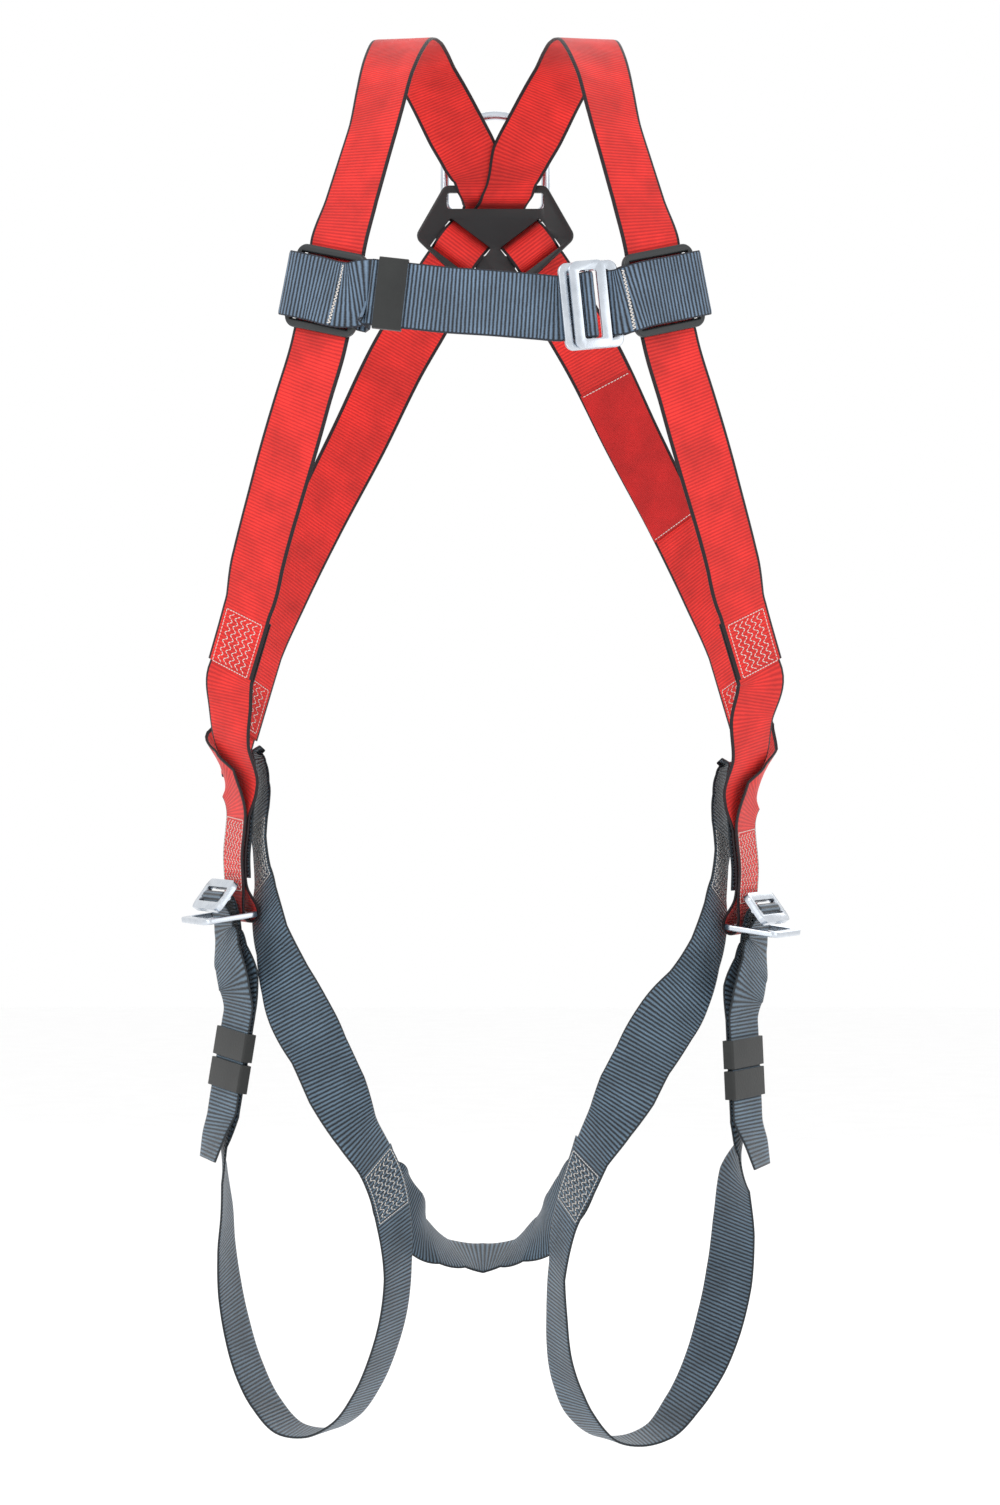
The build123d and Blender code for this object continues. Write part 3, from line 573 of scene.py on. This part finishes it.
def at_eye(out, forward, z, turn, kept=1.0):
    """A station above the seam: distances outwards and forward, and the turn of the strap."""
    angle = math.radians(turn)
    point = [seam_top[i] + hip_out[i] * out + hip_across[i] * forward for i in (0, 1)]
    wide = [kept * (hip_across[i] * math.cos(angle) - hip_out[i] * math.sin(angle)) for i in (0, 1)]
    return ((point[0], point[1], z), (wide[0], wide[1], 0))


def run_on(route, share):
    """The route with one more station in front, straight on from its first span."""
    first, second = Vector(route[0][0]), Vector(route[1][0])
    return [(tuple(first + (first - second) * share), route[0][1])] + route


hip_front = [
    ((-188, -32, -478), (0.72, -0.69, 0)),
    at_eye(10.7, 15.2, -505, 14.5),
    at_eye(-1, 8, -531, 5),
]
hip_fold = round_bar(hip_bar, (0.933, 0.36, 0), (0, 0, -1), bar_fold, hip_across, 180, 6)
hip_back = [at_eye(6.5, -6, -533, 0), at_eye(9, -14, -522, -18), at_eye(8, -24, -512, -38)]
hip_top_lap = list(reversed(beside(run_on(front_low[:3], 0.15), layer_step)))[1:]
hip_back_lap = [
    (point, tuple(-value for value in across))
    for point, across in beside(run_on(list(reversed(back_low))[:2], 0.12), layer_step)
]
hip_low = hip_front + list(reversed(seam)) + hip_fold + beside(seam, -layer_step) + hip_back
hip_right = hip_top_lap + hip_low + hip_back_lap
hip_left = mirrored(hip_top_lap) + mirrored(hip_low, left_shift) + mirrored(hip_back_lap)

hip_lines = {}
for side, route in (("right", hip_right), ("left", hip_left)):
    hip_lines[side] = strap_line(route)
    strap = weave(
        f"hip_webbing_{side}", hip_lines[side], webbing_width, woven_thickness, red_webbing
    )
    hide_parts(f"hip_strap_{side}")

# ---------------------------------------------------------------- chest straps
# Blue-grey ribbed polyester webbing. The adjustable part starts round the right slide and
# ends through the buckle, and the fixed part joins the buckle's wide frame to the left slide.
male_bar_radius = 2.0
female_offset = 19.0
male_lift = 2.0
male_level = male_lift + frame_thickness
male_rise = 1.6
male_fold = male_bar_radius + fold_gap + webbing_thickness / 2


def axes_from(along, bars):
    """Three square directions: along the strap, along the bars, outwards."""
    first = unit(Vector(along))
    second = unit(Vector(bars) - first * Vector(bars).dot(first))
    return tuple(first), tuple(second), tuple(first.cross(second))


chest_axes = axes_from((0.975, 0.2, 0.1), (-0.1, 0, 1))
chest_centre = (64, -133, -205)
chest_bar = local(chest_centre, chest_axes, (0, 0, male_level - male_rise))
chest_fixed_bar = local(chest_centre, chest_axes, (female_offset, 0, 0))
bars = chest_axes[1]
chest_main = [
    ((-86, -136.4, -196.1), (0.1, 0, 1)),
    ((-82, -136.6, -196.6), (0.1, 0, 1)),
    ((-76, -136.9, -197.3), (0.1, 0, 1)),
    ((-46, -138.5, -200.7), (0.1, 0, 1)),
    ((-40, -138.8, -201.4), (0.1, 0, 1)),
    ((0, -138, -204.2), (0, 0, 1)),
    ((30, -134.2, -206.3), (-0.05, 0, 1)),
]


def at_buckle(u, out):
    """A station of the chest strap at its buckle: distances along the strap and outwards."""
    return (local(chest_centre, chest_axes, (u, 0, out)), bars)


under = frame_thickness / 2 + fold_gap + webbing_thickness / 2
deeper = under + layer_step
chest_threading = [at_buckle(-20, -deeper), at_buckle(-12, -deeper), at_buckle(-5, -deeper + 0.4)]
chest_threading += [at_buckle(0.5, -3.6), at_buckle(3.2, 0)]
chest_threading += round_bar(chest_bar, chest_axes[0], chest_axes[2], male_fold, bars, 180)
chest_threading += [at_buckle(-4.5, 0.5), at_buckle(-8, -2.2)]
chest_threading += [at_buckle(-12.5, -under), at_buckle(-20, -under)]


def round_slide(side, levels):
    """Stations of a chest strap at its slide, given as across and outward distances."""
    axes = slide_axes(side)
    wide = axes[1]
    return [(local(slide_centre(side), axes, (across, 0, out)), wide) for across, out in levels]


def slide_fold(side):
    """The strap goes round the slide's outer side, from behind it to the front."""
    axes = slide_axes(side)
    centre = local(slide_centre(side), axes, (side * 26, 0, 0))
    back = tuple(-value for value in axes[2])
    outwards = tuple(side * value for value in axes[0])
    return round_bar(centre, back, outwards, loop_level, axes[1], 180)


adjustable = beside(chest_main[:2], -layer_step - 0.5)[:1]
adjustable += round_slide(-1, [(34, -5.2), (24, -loop_level), (-10, -loop_level)]) + slide_fold(-1)
adjustable += round_slide(-1, [(-10, loop_level), (22, loop_level)])
adjustable += chest_main + chest_threading + list(reversed(beside(chest_main, layer_step)))
backwards = tuple(-value for value in chest_axes[2])
towards_middle = tuple(-value for value in chest_axes[0])
fixed = round_slide(1, [(12, -loop_level - layer_step), (-20, -loop_level - layer_step)])
fixed += round_bar(chest_fixed_bar, backwards, towards_middle, bar_fold, bars, 180)
fixed += round_slide(1, [(-20, loop_level), (10, loop_level)])
fixed += list(reversed(slide_fold(1))) + round_slide(1, [(10, -loop_level), (-12, -loop_level)])

# Woven polyester with heavy weft ribs, 2.75 mm apart: a bluish painted highlight on their crests
# and near-black painted shade in the hollows between them.
chest_webbing = woven(
    "navy_ribbed_polyester", "#6C8299", "#080C14", "#1A222E", 1.0, 2.75, 0.6, 0.46
)
chest_lines = {}
for name, route in (("adjustable", adjustable), ("fixed", fixed)):
    chest_lines[name] = strap_line(route)
    strap = weave(
        f"chest_webbing_{name}", chest_lines[name], webbing_width, woven_thickness, chest_webbing
    )
    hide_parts(f"chest_strap_{name}")

# ---------------------------------------------------------------- thigh straps
# Slate ribbed polyester webbing, one length on each side: sewn inside the hip, over the
# thigh to the crotch, round the leg, through the leg buckle, and down as a free end.
hip_slope_angle = math.radians(54)
male_out = 19.0
male_up = 12.0


def to_side(side, vector, shift=(0, 0, 0)):
    """A vector of the right side, brought over to the given side."""
    if side < 0:
        return tuple(vector)
    return (shift[0] - vector[0], shift[1] + vector[1], shift[2] + vector[2])


def hip_slope(side, angle):
    """Direction that points outwards from the hip and down by an angle."""
    level = math.cos(angle)
    return to_side(side, (hip_out[0] * level, hip_out[1] * level, -math.sin(angle)))


def turned(route):
    """The same route with its width pointing the other way."""
    return [(point, tuple(-value for value in wide)) for point, wide in route]


male_middle = (
    hip_bar[0] + male_out * hip_out[0],
    hip_bar[1] + male_out * hip_out[1],
    hip_bar[2] + male_up,
)
leg_male_axes = {}
leg_bar = {}
for side in (-1, 1):
    leg_bars = tuple(-side * value for value in to_side(side, hip_across))
    leg_male_axes[side] = axes_from(hip_slope(side, hip_slope_angle), leg_bars)
    leg_bar[side] = to_side(side, male_middle, left_shift)
eye = [((-182, -2.7, -600), hip_across)] + beside(seam, layer_step + 0.5)[1:] + [
    at_eye(-6, -4, -534, 0),
    at_eye(-8.5, -11, -520, -6, 0.9),
    at_eye(-10.3, -13.2, -513, -7, 0.88),
    at_eye(-14.3, -14.5, -509.5, -8, 0.86),
    at_eye(-18.4, -14.6, -513, -7, 0.88),
    at_eye(-20, -14, -520, -6, 0.9),
    at_eye(-19, -10, -538, -4),
]
right_thigh_front = [
    ((-169.5, 3, -556), (0.36, -0.93, 0)),
    ((-168.5, -2, -576), (0.26, -0.97, 0)),
    ((-166, -9, -600), (0.3, -0.95, 0)),
    ((-164.5, -17, -616), (0.42, -0.9, 0)),
    ((-158, -34, -644), (0.57, -0.82, 0)),
    ((-148, -46, -672), (0.83, -0.56, 0)),
    ((-139, -52, -692), (0.98, -0.2, 0)),
    ((-124, -56, -720), (0.94, 0.34, 0)),
    ((-111, -58, -748), (0.94, 0.34, 0)),
    ((-97, -56, -777), (0.7, 0.7, 0)),
    ((-84.5, -50, -798), (0.57, 0.82, 0)),
    ((-77, -44, -816), (0.55, 0.83, 0)),
    ((-71.5, -36, -842), (0.5, 0.87, 0)),
]
right_leg_loop = [
    ((-69, -28, -879), (0.4, 0.91, 0)),
    ((-72, -24, -909), (0.4, 0.91, 0)),
    ((-80, -18, -939), (0.4, 0.91, 0)),
    ((-91, -12, -965), (0.4, 0.91, 0)),
    ((-107.5, -6, -988), (0.4, 0.91, 0)),
    ((-127, 0, -998), (0.4, 0.91, 0)),
    ((-147, 5, -996), (0.4, 0.91, 0)),
    ((-165, 11, -978), (0.4, 0.91, 0)),
    ((-177.5, 13, -953), (0.4, 0.91, 0)),
    ((-186, 14, -924), (0.36, 0.93, 0)),
    ((-191, 11, -895), (0.3, 0.95, 0)),
    ((-193, 5, -866), (0.2, 0.98, 0)),
    ((-192.5, -4, -837), (0.1, 0.99, 0)),
    ((-193.5, -11, -811), (0, 1, 0)),
    ((-194, -18, -785), (-0.2, 0.98, 0)),
]
right_keeper_run = [
    ((-191.9, -22, -766), (-0.5, 0.87, 0)),
    ((-190.6, -22, -758), (-0.5, 0.87, 0)),
    ((-181.6, -22, -702), (-0.5, 0.87, 0)),
    ((-180.5, -22, -695), (-0.5, 0.87, 0)),
]
right_buckle_run = [
    ((-181, -18, -674), (-0.6, 0.8, 0)),
    ((-185.5, -10, -656), (-0.45, 0.89, 0)),
    ((-188.1, -4.9, -640), (-0.36, 0.93, 0)),
    ((-189.4, -5.2, -629), (-0.36, 0.93, 0)),
]
right_free_start = [
    ((-194.5, -7, -628), (-0.36, 0.93, 0)),
    ((-193.2, -7.5, -640), (-0.36, 0.93, 0)),
    ((-190.5, -17, -657), (-0.45, 0.89, 0)),
    ((-185.5, -25, -676), (-0.55, 0.83, 0)),
]
left_thigh_front = [
    ((163, 3, -566), (-0.36, -0.93, 0)),
    ((162, -3, -586), (-0.26, -0.97, 0)),
    ((159.5, -10, -609), (-0.3, -0.95, 0)),
    ((157, -19, -627), (-0.42, -0.9, 0)),
    ((149, -33, -653), (-0.57, -0.82, 0)),
    ((137, -43, -678), (-0.8, -0.6, 0)),
    ((120, -52, -701), (-0.98, -0.1, 0)),
    ((104, -56, -727), (-0.94, 0.34, 0)),
    ((93, -58, -748), (-0.94, 0.34, 0)),
    ((81, -57, -770), (-0.75, 0.66, 0)),
    ((69, -52, -791), (-0.57, 0.82, 0)),
    ((60, -46, -813), (-0.5, 0.87, 0)),
    ((50, -38, -840), (-0.36, 0.93, 0)),
]
left_leg_loop = [
    ((44, -29, -879), (-0.23, 0.97, 0)),
    ((44, -25, -909), (-0.3, 0.95, 0)),
    ((46, -20, -939), (-0.36, 0.93, 0)),
    ((52, -13, -964), (-0.45, 0.89, 0)),
    ((61, -8, -984), (-0.5, 0.87, 0)),
    ((79, -3, -1001), (-0.45, 0.89, 0)),
    ((98, 1, -1004), (-0.4, 0.91, 0)),
    ((117, 5, -998), (-0.45, 0.89, 0)),
    ((135, 9, -978), (-0.55, 0.83, 0)),
    ((151, 12, -950), (-0.65, 0.76, 0)),
    ((161, 12, -921), (-0.7, 0.71, 0)),
    ((168, 9, -888), (-0.7, 0.71, 0)),
    ((171, 3, -852), (-0.62, 0.78, 0)),
    ((171.5, -6, -816), (-0.42, 0.91, 0)),
    ((175.5, -16, -790), (0.1, 0.99, 0)),
]
left_keeper_run = [
    ((177.5, -22, -771), (0.5, 0.87, 0)),
    ((177.2, -22, -764), (0.5, 0.87, 0)),
    ((174.6, -22, -708), (0.5, 0.87, 0)),
    ((174.3, -22, -701), (0.5, 0.87, 0)),
]
left_buckle_run = [
    ((175, -18, -683), (0.6, 0.8, 0)),
    ((179.5, -10, -665), (0.45, 0.89, 0)),
    ((182.1, -4.9, -649), (0.36, 0.93, 0)),
    ((183.4, -5.2, -638), (0.36, 0.93, 0)),
]


def male_threading(side):
    """Half a turn over the male frame's middle bar, from the inner side to the outer."""
    along, bars, outwards = leg_male_axes[side]
    inner = tuple(-value for value in along)
    across = to_side(side, (-0.36, 0.933, 0))
    return round_bar(leg_bar[side], inner, outwards, male_fold, across, 180)


def free_end(keeper_run, side):
    """Outside the strap, down through both keepers, and a short way past them."""
    run = list(reversed(beside(keeper_run, -side * layer_step)))
    (x, y, z), across = run[-1]
    tail = [
        ((x + side * 6, y - 3, z - 18), to_side(side, (-0.4, 0.92, 0))),
        ((x + side * 10, y - 4, z - 34), to_side(side, (-0.3, 0.95, 0))),
    ]
    return run + tail


thigh_right = eye + right_thigh_front + right_leg_loop + right_keeper_run + right_buckle_run
thigh_right += male_threading(-1) + right_free_start + free_end(right_keeper_run, -1)
thigh_left = turned(mirrored(eye, left_shift)) + left_thigh_front + left_leg_loop + left_keeper_run
thigh_left += left_buckle_run + male_threading(1)
thigh_left += turned(mirrored(right_free_start, left_shift)) + free_end(left_keeper_run, 1)

# The same ribbed weave, dyed a slate grey, with the same painted highlight on the rib crests and
# painted shade in the hollows.
thigh_webbing = woven(
    "slate_ribbed_polyester", "#5E7486", "#080D13", "#1A2228", 1.0, 2.75, 0.6, 0.48
)
thigh_lines = {}
for side, route in (("right", thigh_right), ("left", thigh_left)):
    thigh_lines[side] = strap_line(route)
    strap = weave(
        f"thigh_webbing_{side}", thigh_lines[side], webbing_width, woven_thickness, thigh_webbing
    )
    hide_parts(f"thigh_strap_{side}")

# ---------------------------------------------------------------- seat strap
# A short length of the slate webbing, sewn behind both thigh straps, that hangs slack
# between the legs and holds the two leg loops together.
seat_right = beside(right_thigh_front[-3:], -layer_step - 2.4)[:2]
seat_left = beside(left_thigh_front[-3:], layer_step + 1.3)[:2]
slide_back = 7.0     # how far its sewn ends stand behind the thigh straps' rear edges


def moved_back(route):
    """The same route, moved across its own width towards the back."""
    stations = []
    for point, across in route:
        stations.append((tuple(Vector(point) + unit(Vector(across)) * slide_back), across))
    return stations


seat = moved_back(seat_right) + [
    ((-71.2, -22.7, -828), (0.55, 0.8, 0.15)),
    ((-59.5, -4, -845), (0.45, 0.7, 0.5)),
    ((-45.5, 21, -863), (0.12, 0.955, 0.27)),
    ((-28, 36, -874), (0, 0.975, 0.22)),
    ((-9, 41, -878), (0, 0.93, 0.36)),
    ((9, 37, -874), (0, 0.975, 0.22)),
    ((25.5, 24, -862), (-0.12, 0.955, 0.27)),
    ((41.5, -4, -846), (-0.34, 0.75, 0.5)),
    ((51.2, -23.2, -829), (-0.42, 0.86, 0.15)),
] + list(reversed(moved_back(seat_left)))
seat_line = strap_line(seat)
strap = weave("seat_webbing", seat_line, webbing_width, woven_thickness, thigh_webbing)
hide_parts("seat_strap")

# ---------------------------------------------------------------- label sleeve
# A thin red ribbon sewn across both ends on the wearer's side of the left back strap. The
# label goes in behind it. It is woven finer than the webbing, and so looks flatter.
label_width = 42.0
label_thickness = 0.8
label_top = -236
label_bottom = -346
label_level = (webbing_thickness + label_thickness) / 2 + layer_gap
label_line = []
for place, side, face, kept, run in shoulder_lines["right"]:
    on_back = place.x > 60
    if on_back and label_bottom < place.z < label_top:
        start = label_line[0][5] if label_line else run
        label_line.append((place + face * label_level, side, face, kept, run - start, start))
label_line = [section[:5] for section in label_line]
# Its rib crests and hollows carry a faint painted highlight and painted shade.
label_ribbon = woven("red_woven_ribbon", "#CC1F1D", "#AC1417", "#1C0E14", 0.8, 1.1, 0.08, 0.7)
sleeve = weave("label_ribbon", label_line, label_width, label_thickness, label_ribbon)
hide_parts("label_sleeve")

# ---------------------------------------------------------------- sewing
# Off-white bonded polyester thread: box stitches where two straps are joined, zigzag bar tacks on
# the chest straps, and a line of stitches at each end of the label. A pale and a darker tone,
# finely mottled at random, are the painted highlight and painted shade on the twisted strands.
thread_finish, tree, shader = new_finish("bonded_polyester_thread")
twist = add(tree, "ShaderNodeTexCoord")
strand_light_and_shade = add(tree, "ShaderNodeTexNoise", {"Vector": twist.outputs["Object"], "Scale": 1600.0})
# This mix paints the strands' highlight and shade as a random mottle.
tone = add(tree, "ShaderNodeMix", {"Factor": strand_light_and_shade.outputs["Fac"]}, data_type="RGBA")
tone.inputs[6].default_value = linear("#B9B1AA")
tone.inputs[7].default_value = linear("#F4F0EA")
tree.links.new(tone.outputs[2], shader.inputs["Base Color"])
shader.inputs["Roughness"].default_value = 0.55
shader.inputs["Sheen Weight"].default_value = 0.1


def on_strap(line, across, run, turn, lift):
    """A point on a strap's face, with its directions, from its place on the map."""
    low = 0
    for i, section in enumerate(line):
        if section[4] <= run:
            low = i
    high = min(low + 1, len(line) - 1)
    gap = line[high][4] - line[low][4]
    share = (run - line[low][4]) / gap if gap else 0.0
    place = line[low][0].lerp(line[high][0], share)
    side = unit(line[low][1].lerp(line[high][1], share))
    face = unit(line[low][2].lerp(line[high][2], share)) * turn
    return place + side * across + face * (webbing_thickness / 2 - 0.02 + lift), face


def sew(name, line, paths, turn, thickness=0.75, pitch=2.6, lift=0.0):
    """Rows of short raised stitches along paths drawn on a strap's face."""
    shape = bmesh.new()
    for path in paths:
        for (a, b), (c, d) in zip(path, path[1:]):
            length = math.hypot(c - a, d - b)
            count = max(1, round(length / pitch))
            for i in range(count):
                first, last = (i + 0.1) / count, (i + 0.9) / count
                ends = []
                for share in (first, last):
                    across, run = a + (c - a) * share, b + (d - b) * share
                    ends.append(on_strap(line, across, run, turn, lift))
                (start, face), (end, _) = ends
                along = unit(end - start)
                out = along.cross(face) * (thickness / 2)
                up = face * (thickness / 2)
                rows = []
                for share, size in ((0.0, 0.35), (0.18, 1.0), (0.82, 1.0), (1.0, 0.35)):
                    spot = start.lerp(end, share)
                    corners = (
                        spot + out * size,
                        spot + up * size,
                        spot - out * size,
                        spot - up * size * 0.4,
                    )
                    rows.append([shape.verts.new(corner * mm) for corner in corners])
                for one, two in zip(rows, rows[1:]):
                    for k in range(4):
                        after = (k + 1) % 4
                        side = shape.faces.new((one[k], one[after], two[after], two[k]))
                        side.smooth = True
                shape.faces.new(rows[0])
                shape.faces.new(rows[-1])
    bmesh.ops.recalc_face_normals(shape, faces=shape.faces)
    mesh = bpy.data.meshes.new(name)
    shape.to_mesh(mesh)
    shape.free()
    rows = bpy.data.objects.new(name, mesh)
    bpy.context.collection.objects.link(rows)
    rows.data.materials.append(thread_finish)
    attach(rows, "webbing")


def box_stitch(low, high, half, columns, zigzag=3.0):
    """A rectangle with zigzag columns in it, between two places along a strap."""
    paths = [[(-half, low), (half, low), (half, high), (-half, high), (-half, low)]]
    inner = half - 3.0
    wide = 2 * inner / columns
    rows = max(4, round((high - low - 3) / zigzag))
    for column in range(columns):
        left = -inner + column * wide + 0.5
        right = left + wide - 1.0
        zigzags = []
        for row in range(rows + 1):
            across = left if row % 2 else right
            zigzags.append((across, low + 1.5 + (high - low - 3) * row / rows))
        paths.append(zigzags)
    return paths


def front_place(line, axis, value, after=0.0):
    """How far along a strap it passes a place nearest the front, and which face is outside."""
    nearest = None
    for one, two in zip(line, line[1:]):
        if one[4] >= after and (one[0][axis] - value) * (two[0][axis] - value) <= 0:
            if nearest is None or one[0].y < nearest[0].y:
                nearest = one
    return nearest[4], 1 if nearest[2].y < 0 else -1


def front_box(name, line, high, low, half, columns, after=0.0):
    """A box stitch on the outside of a strap's front run, between two heights."""
    top, turn = front_place(line, 2, high, after)
    bottom, _ = front_place(line, 2, low, after)
    sew(name, line, box_stitch(min(top, bottom), max(top, bottom), half, columns), turn)


def bar_tack(name, line, place, slope):
    """A dense zigzag bar across the chest strap, at a distance to one side."""
    middle, turn = front_place(line, 0, place)
    stitches = 34
    half, reach = 20.5, 1.3
    path = []
    for i in range(stitches + 1):
        across = -half + 2 * half * i / stitches
        path.append((across, middle + slope * across + (reach if i % 2 else -reach)))
    sew(name, line, [path], turn, thickness=0.9, pitch=3.2)


columns = 5
hip_half = 17.5
seam_half = 19.0
crotch_half = 19.5
past_the_end = 120     # the thigh strap's sewn end, which its patch leaves out
for side, drop in (("right", 0.0), ("left", left_shift[2])):
    line = shoulder_lines[side]
    front_box(f"front_hip_sewing_{side}", line, -414, -450, hip_half, columns)
    line = hip_lines[side]
    top, bottom = -556 + drop, -608 + drop
    front_box(f"low_hip_sewing_{side}", line, top, bottom, seam_half, columns)
    line = thigh_lines[side]
    name = f"thigh_end_sewing_{side}"
    top, bottom = -564 + drop, -606 + drop
    front_box(name, line, top, bottom, seam_half, columns, past_the_end)
    front_box(f"crotch_sewing_{side}", line, -801, -837, crotch_half, columns)

for side, other in (("right", "left"), ("left", "right")):
    line = shoulder_lines[other]
    end = line[-1][4]
    box = box_stitch(end - 38, end - 4, hip_half, columns)
    sew(f"back_hip_sewing_{side}", line, box, 1)
    sew(f"wearer_hip_sewing_{side}", line, box, -1)

tack_slope = 0.1
bar_tack("chest_tack_right", chest_lines["adjustable"], -106, tack_slope)
bar_tack("chest_tack_left", chest_lines["fixed"], 92, tack_slope)
label_edge = 1.6
for end, place in (("top", label_edge), ("bottom", label_line[-1][4] - label_edge)):
    row = [(-19.5, place), (19.5, place)]
    sew(f"label_sewing_{end}", label_line, [row], 1, lift=-0.6)

# ---------------------------------------------------------------- metal and plastic fittings
# The D-ring is forged steel and the buckle frames are stamped steel, all zinc plated: bright
# and a little cloudy, with soft reflections. The back plate and the chest slides are moulded
# plastic, nearly black, with a satin gloss on a fine sparked texture.
steel, tree, shader = new_finish("zinc_plated_steel")
place = add(tree, "ShaderNodeTexCoord")
spangle = add(
    tree, "ShaderNodeTexNoise", {"Vector": place.outputs["Object"], "Scale": 90.0, "Detail": 4.0}
)
sheen = add(tree, "ShaderNodeMix", {"Factor": spangle.outputs["Fac"]}, data_type="RGBA")
sheen.inputs[6].default_value = linear("#AEB6C0")
sheen.inputs[7].default_value = linear("#DDE3EA")
tree.links.new(sheen.outputs[2], shader.inputs["Base Color"])
polish = add(
    tree, "ShaderNodeMapRange", {"Value": spangle.outputs["Fac"], "To Min": 0.18, "To Max": 0.36}
)
tree.links.new(polish.outputs["Result"], shader.inputs["Roughness"])
scuffs = add(
    tree, "ShaderNodeTexNoise", {"Vector": place.outputs["Object"], "Scale": 700.0, "Detail": 2.0}
)
bump = add(
    tree, "ShaderNodeBump", {"Height": scuffs.outputs["Fac"], "Strength": 0.12, "Distance": 0.0002}
)
tree.links.new(bump.outputs["Normal"], shader.inputs["Normal"])
shader.inputs["Metallic"].default_value = 1.0


def moulded(name, dark, light, roughness):
    """Injection moulded plastic: a fine spark texture, with small changes of gloss."""
    finish, tree, shader = new_finish(name)
    place = add(tree, "ShaderNodeTexCoord")
    spark = add(
        tree,
        "ShaderNodeTexNoise",
        {"Vector": place.outputs["Object"], "Scale": 1400.0, "Detail": 2.0},
    )
    cloud = add(
        tree,
        "ShaderNodeTexNoise",
        {"Vector": place.outputs["Object"], "Scale": 45.0, "Detail": 3.0},
    )
    tone = add(tree, "ShaderNodeMix", {"Factor": cloud.outputs["Fac"]}, data_type="RGBA")
    tone.inputs[6].default_value = linear(dark)
    tone.inputs[7].default_value = linear(light)
    tree.links.new(tone.outputs[2], shader.inputs["Base Color"])
    gloss = add(
        tree,
        "ShaderNodeMapRange",
        {"Value": cloud.outputs["Fac"], "To Min": roughness - 0.06, "To Max": roughness + 0.08},
    )
    tree.links.new(gloss.outputs["Result"], shader.inputs["Roughness"])
    bump = add(
        tree,
        "ShaderNodeBump",
        {"Height": spark.outputs["Fac"], "Strength": 0.25, "Distance": 0.00015},
    )
    tree.links.new(bump.outputs["Normal"], shader.inputs["Normal"])
    return finish


plate_plastic = moulded("satin_black_nylon", "#0B0C0E", "#15171A", 0.36)
slide_plastic = moulded("dark_grey_acetal", "#1D2022", "#2C3032", 0.42)


def ease_edges(node, name, finish, radius, body):
    """A copy of a hard piece, with its sharp edges rounded over as its making leaves them."""
    source = bpy.data.objects[node]
    shape = bmesh.new()
    shape.from_mesh(source.data)
    bmesh.ops.remove_doubles(shape, verts=shape.verts, dist=0.00001)
    flat = math.radians(2)
    bmesh.ops.dissolve_limit(shape, angle_limit=flat, verts=shape.verts, edges=shape.edges)
    mesh = bpy.data.meshes.new(name)
    shape.to_mesh(mesh)
    shape.free()
    piece = bpy.data.objects.new(name, mesh)
    bpy.context.collection.objects.link(piece)
    piece.data.materials.append(finish)
    bpy.context.view_layer.objects.active = piece
    piece.select_set(True)
    if radius:
        rounding = piece.modifiers.new("rounding", "BEVEL")
        rounding.width = radius * mm
        rounding.segments = 2
        rounding.limit_method = "ANGLE"
        rounding.angle_limit = math.radians(40)
        bpy.ops.object.modifier_apply(modifier="rounding")
    bpy.ops.object.shade_smooth_by_angle(angle=math.radians(35))
    piece.select_set(False)
    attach(piece, body)
    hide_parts(node)


ease_edges("dorsal_d_ring", "back_d_ring", steel, 0, "dorsal_ring")
ease_edges("dorsal_plate", "back_plate", plate_plastic, 0.5, "webbing")
slide_edge = 0.9
buckle_edge = 0.8
for side in ("right", "left"):
    node, name = f"chest_slide_{side}", f"chest_slide_frame_{side}"
    ease_edges(node, name, slide_plastic, slide_edge, "webbing")
    node, name = f"leg_buckle_male_{side}", f"leg_buckle_tongue_{side}"
    ease_edges(node, name, steel, buckle_edge, f"leg_tongue_{side}")
    node, name = f"leg_buckle_female_{side}", f"leg_buckle_frame_{side}"
    ease_edges(node, name, steel, buckle_edge, "webbing")
ease_edges("chest_buckle_male", "chest_buckle_tongue", steel, buckle_edge, "chest_tongue")
ease_edges("chest_buckle_female", "chest_buckle_frame", steel, buckle_edge, "webbing")

# ---------------------------------------------------------------- keepers
# Bands of olive-black woven elastic that hold the straps' free ends flat. The rubber yarns
# leave a dull, slightly fuzzy face.
keeper_edge = 0.5
elastic, tree, shader = new_finish("woven_elastic")
place = add(tree, "ShaderNodeTexCoord")
yarns = add(
    tree, "ShaderNodeTexNoise", {"Vector": place.outputs["Object"], "Scale": 650.0, "Detail": 3.0}
)
cloud = add(
    tree, "ShaderNodeTexNoise", {"Vector": place.outputs["Object"], "Scale": 60.0, "Detail": 2.0}
)
tone = add(tree, "ShaderNodeMix", {"Factor": cloud.outputs["Fac"]}, data_type="RGBA")
tone.inputs[6].default_value = linear("#17191A")
tone.inputs[7].default_value = linear("#282A29")
tree.links.new(tone.outputs[2], shader.inputs["Base Color"])
bump = add(
    tree, "ShaderNodeBump", {"Height": yarns.outputs["Fac"], "Strength": 0.6, "Distance": 0.0003}
)
tree.links.new(bump.outputs["Normal"], shader.inputs["Normal"])
shader.inputs["Roughness"].default_value = 0.75
shader.inputs["Sheen Weight"].default_value = 0.15
ease_edges("chest_keeper", "chest_keeper_band", elastic, keeper_edge, "chest_keeper")
for side in ("right", "left"):
    for level in ("lower", "upper"):
        node = f"leg_keeper_{level}_{side}"
        name = f"leg_keeper_band_{level}_{side}"
        ease_edges(node, name, elastic, keeper_edge, node)
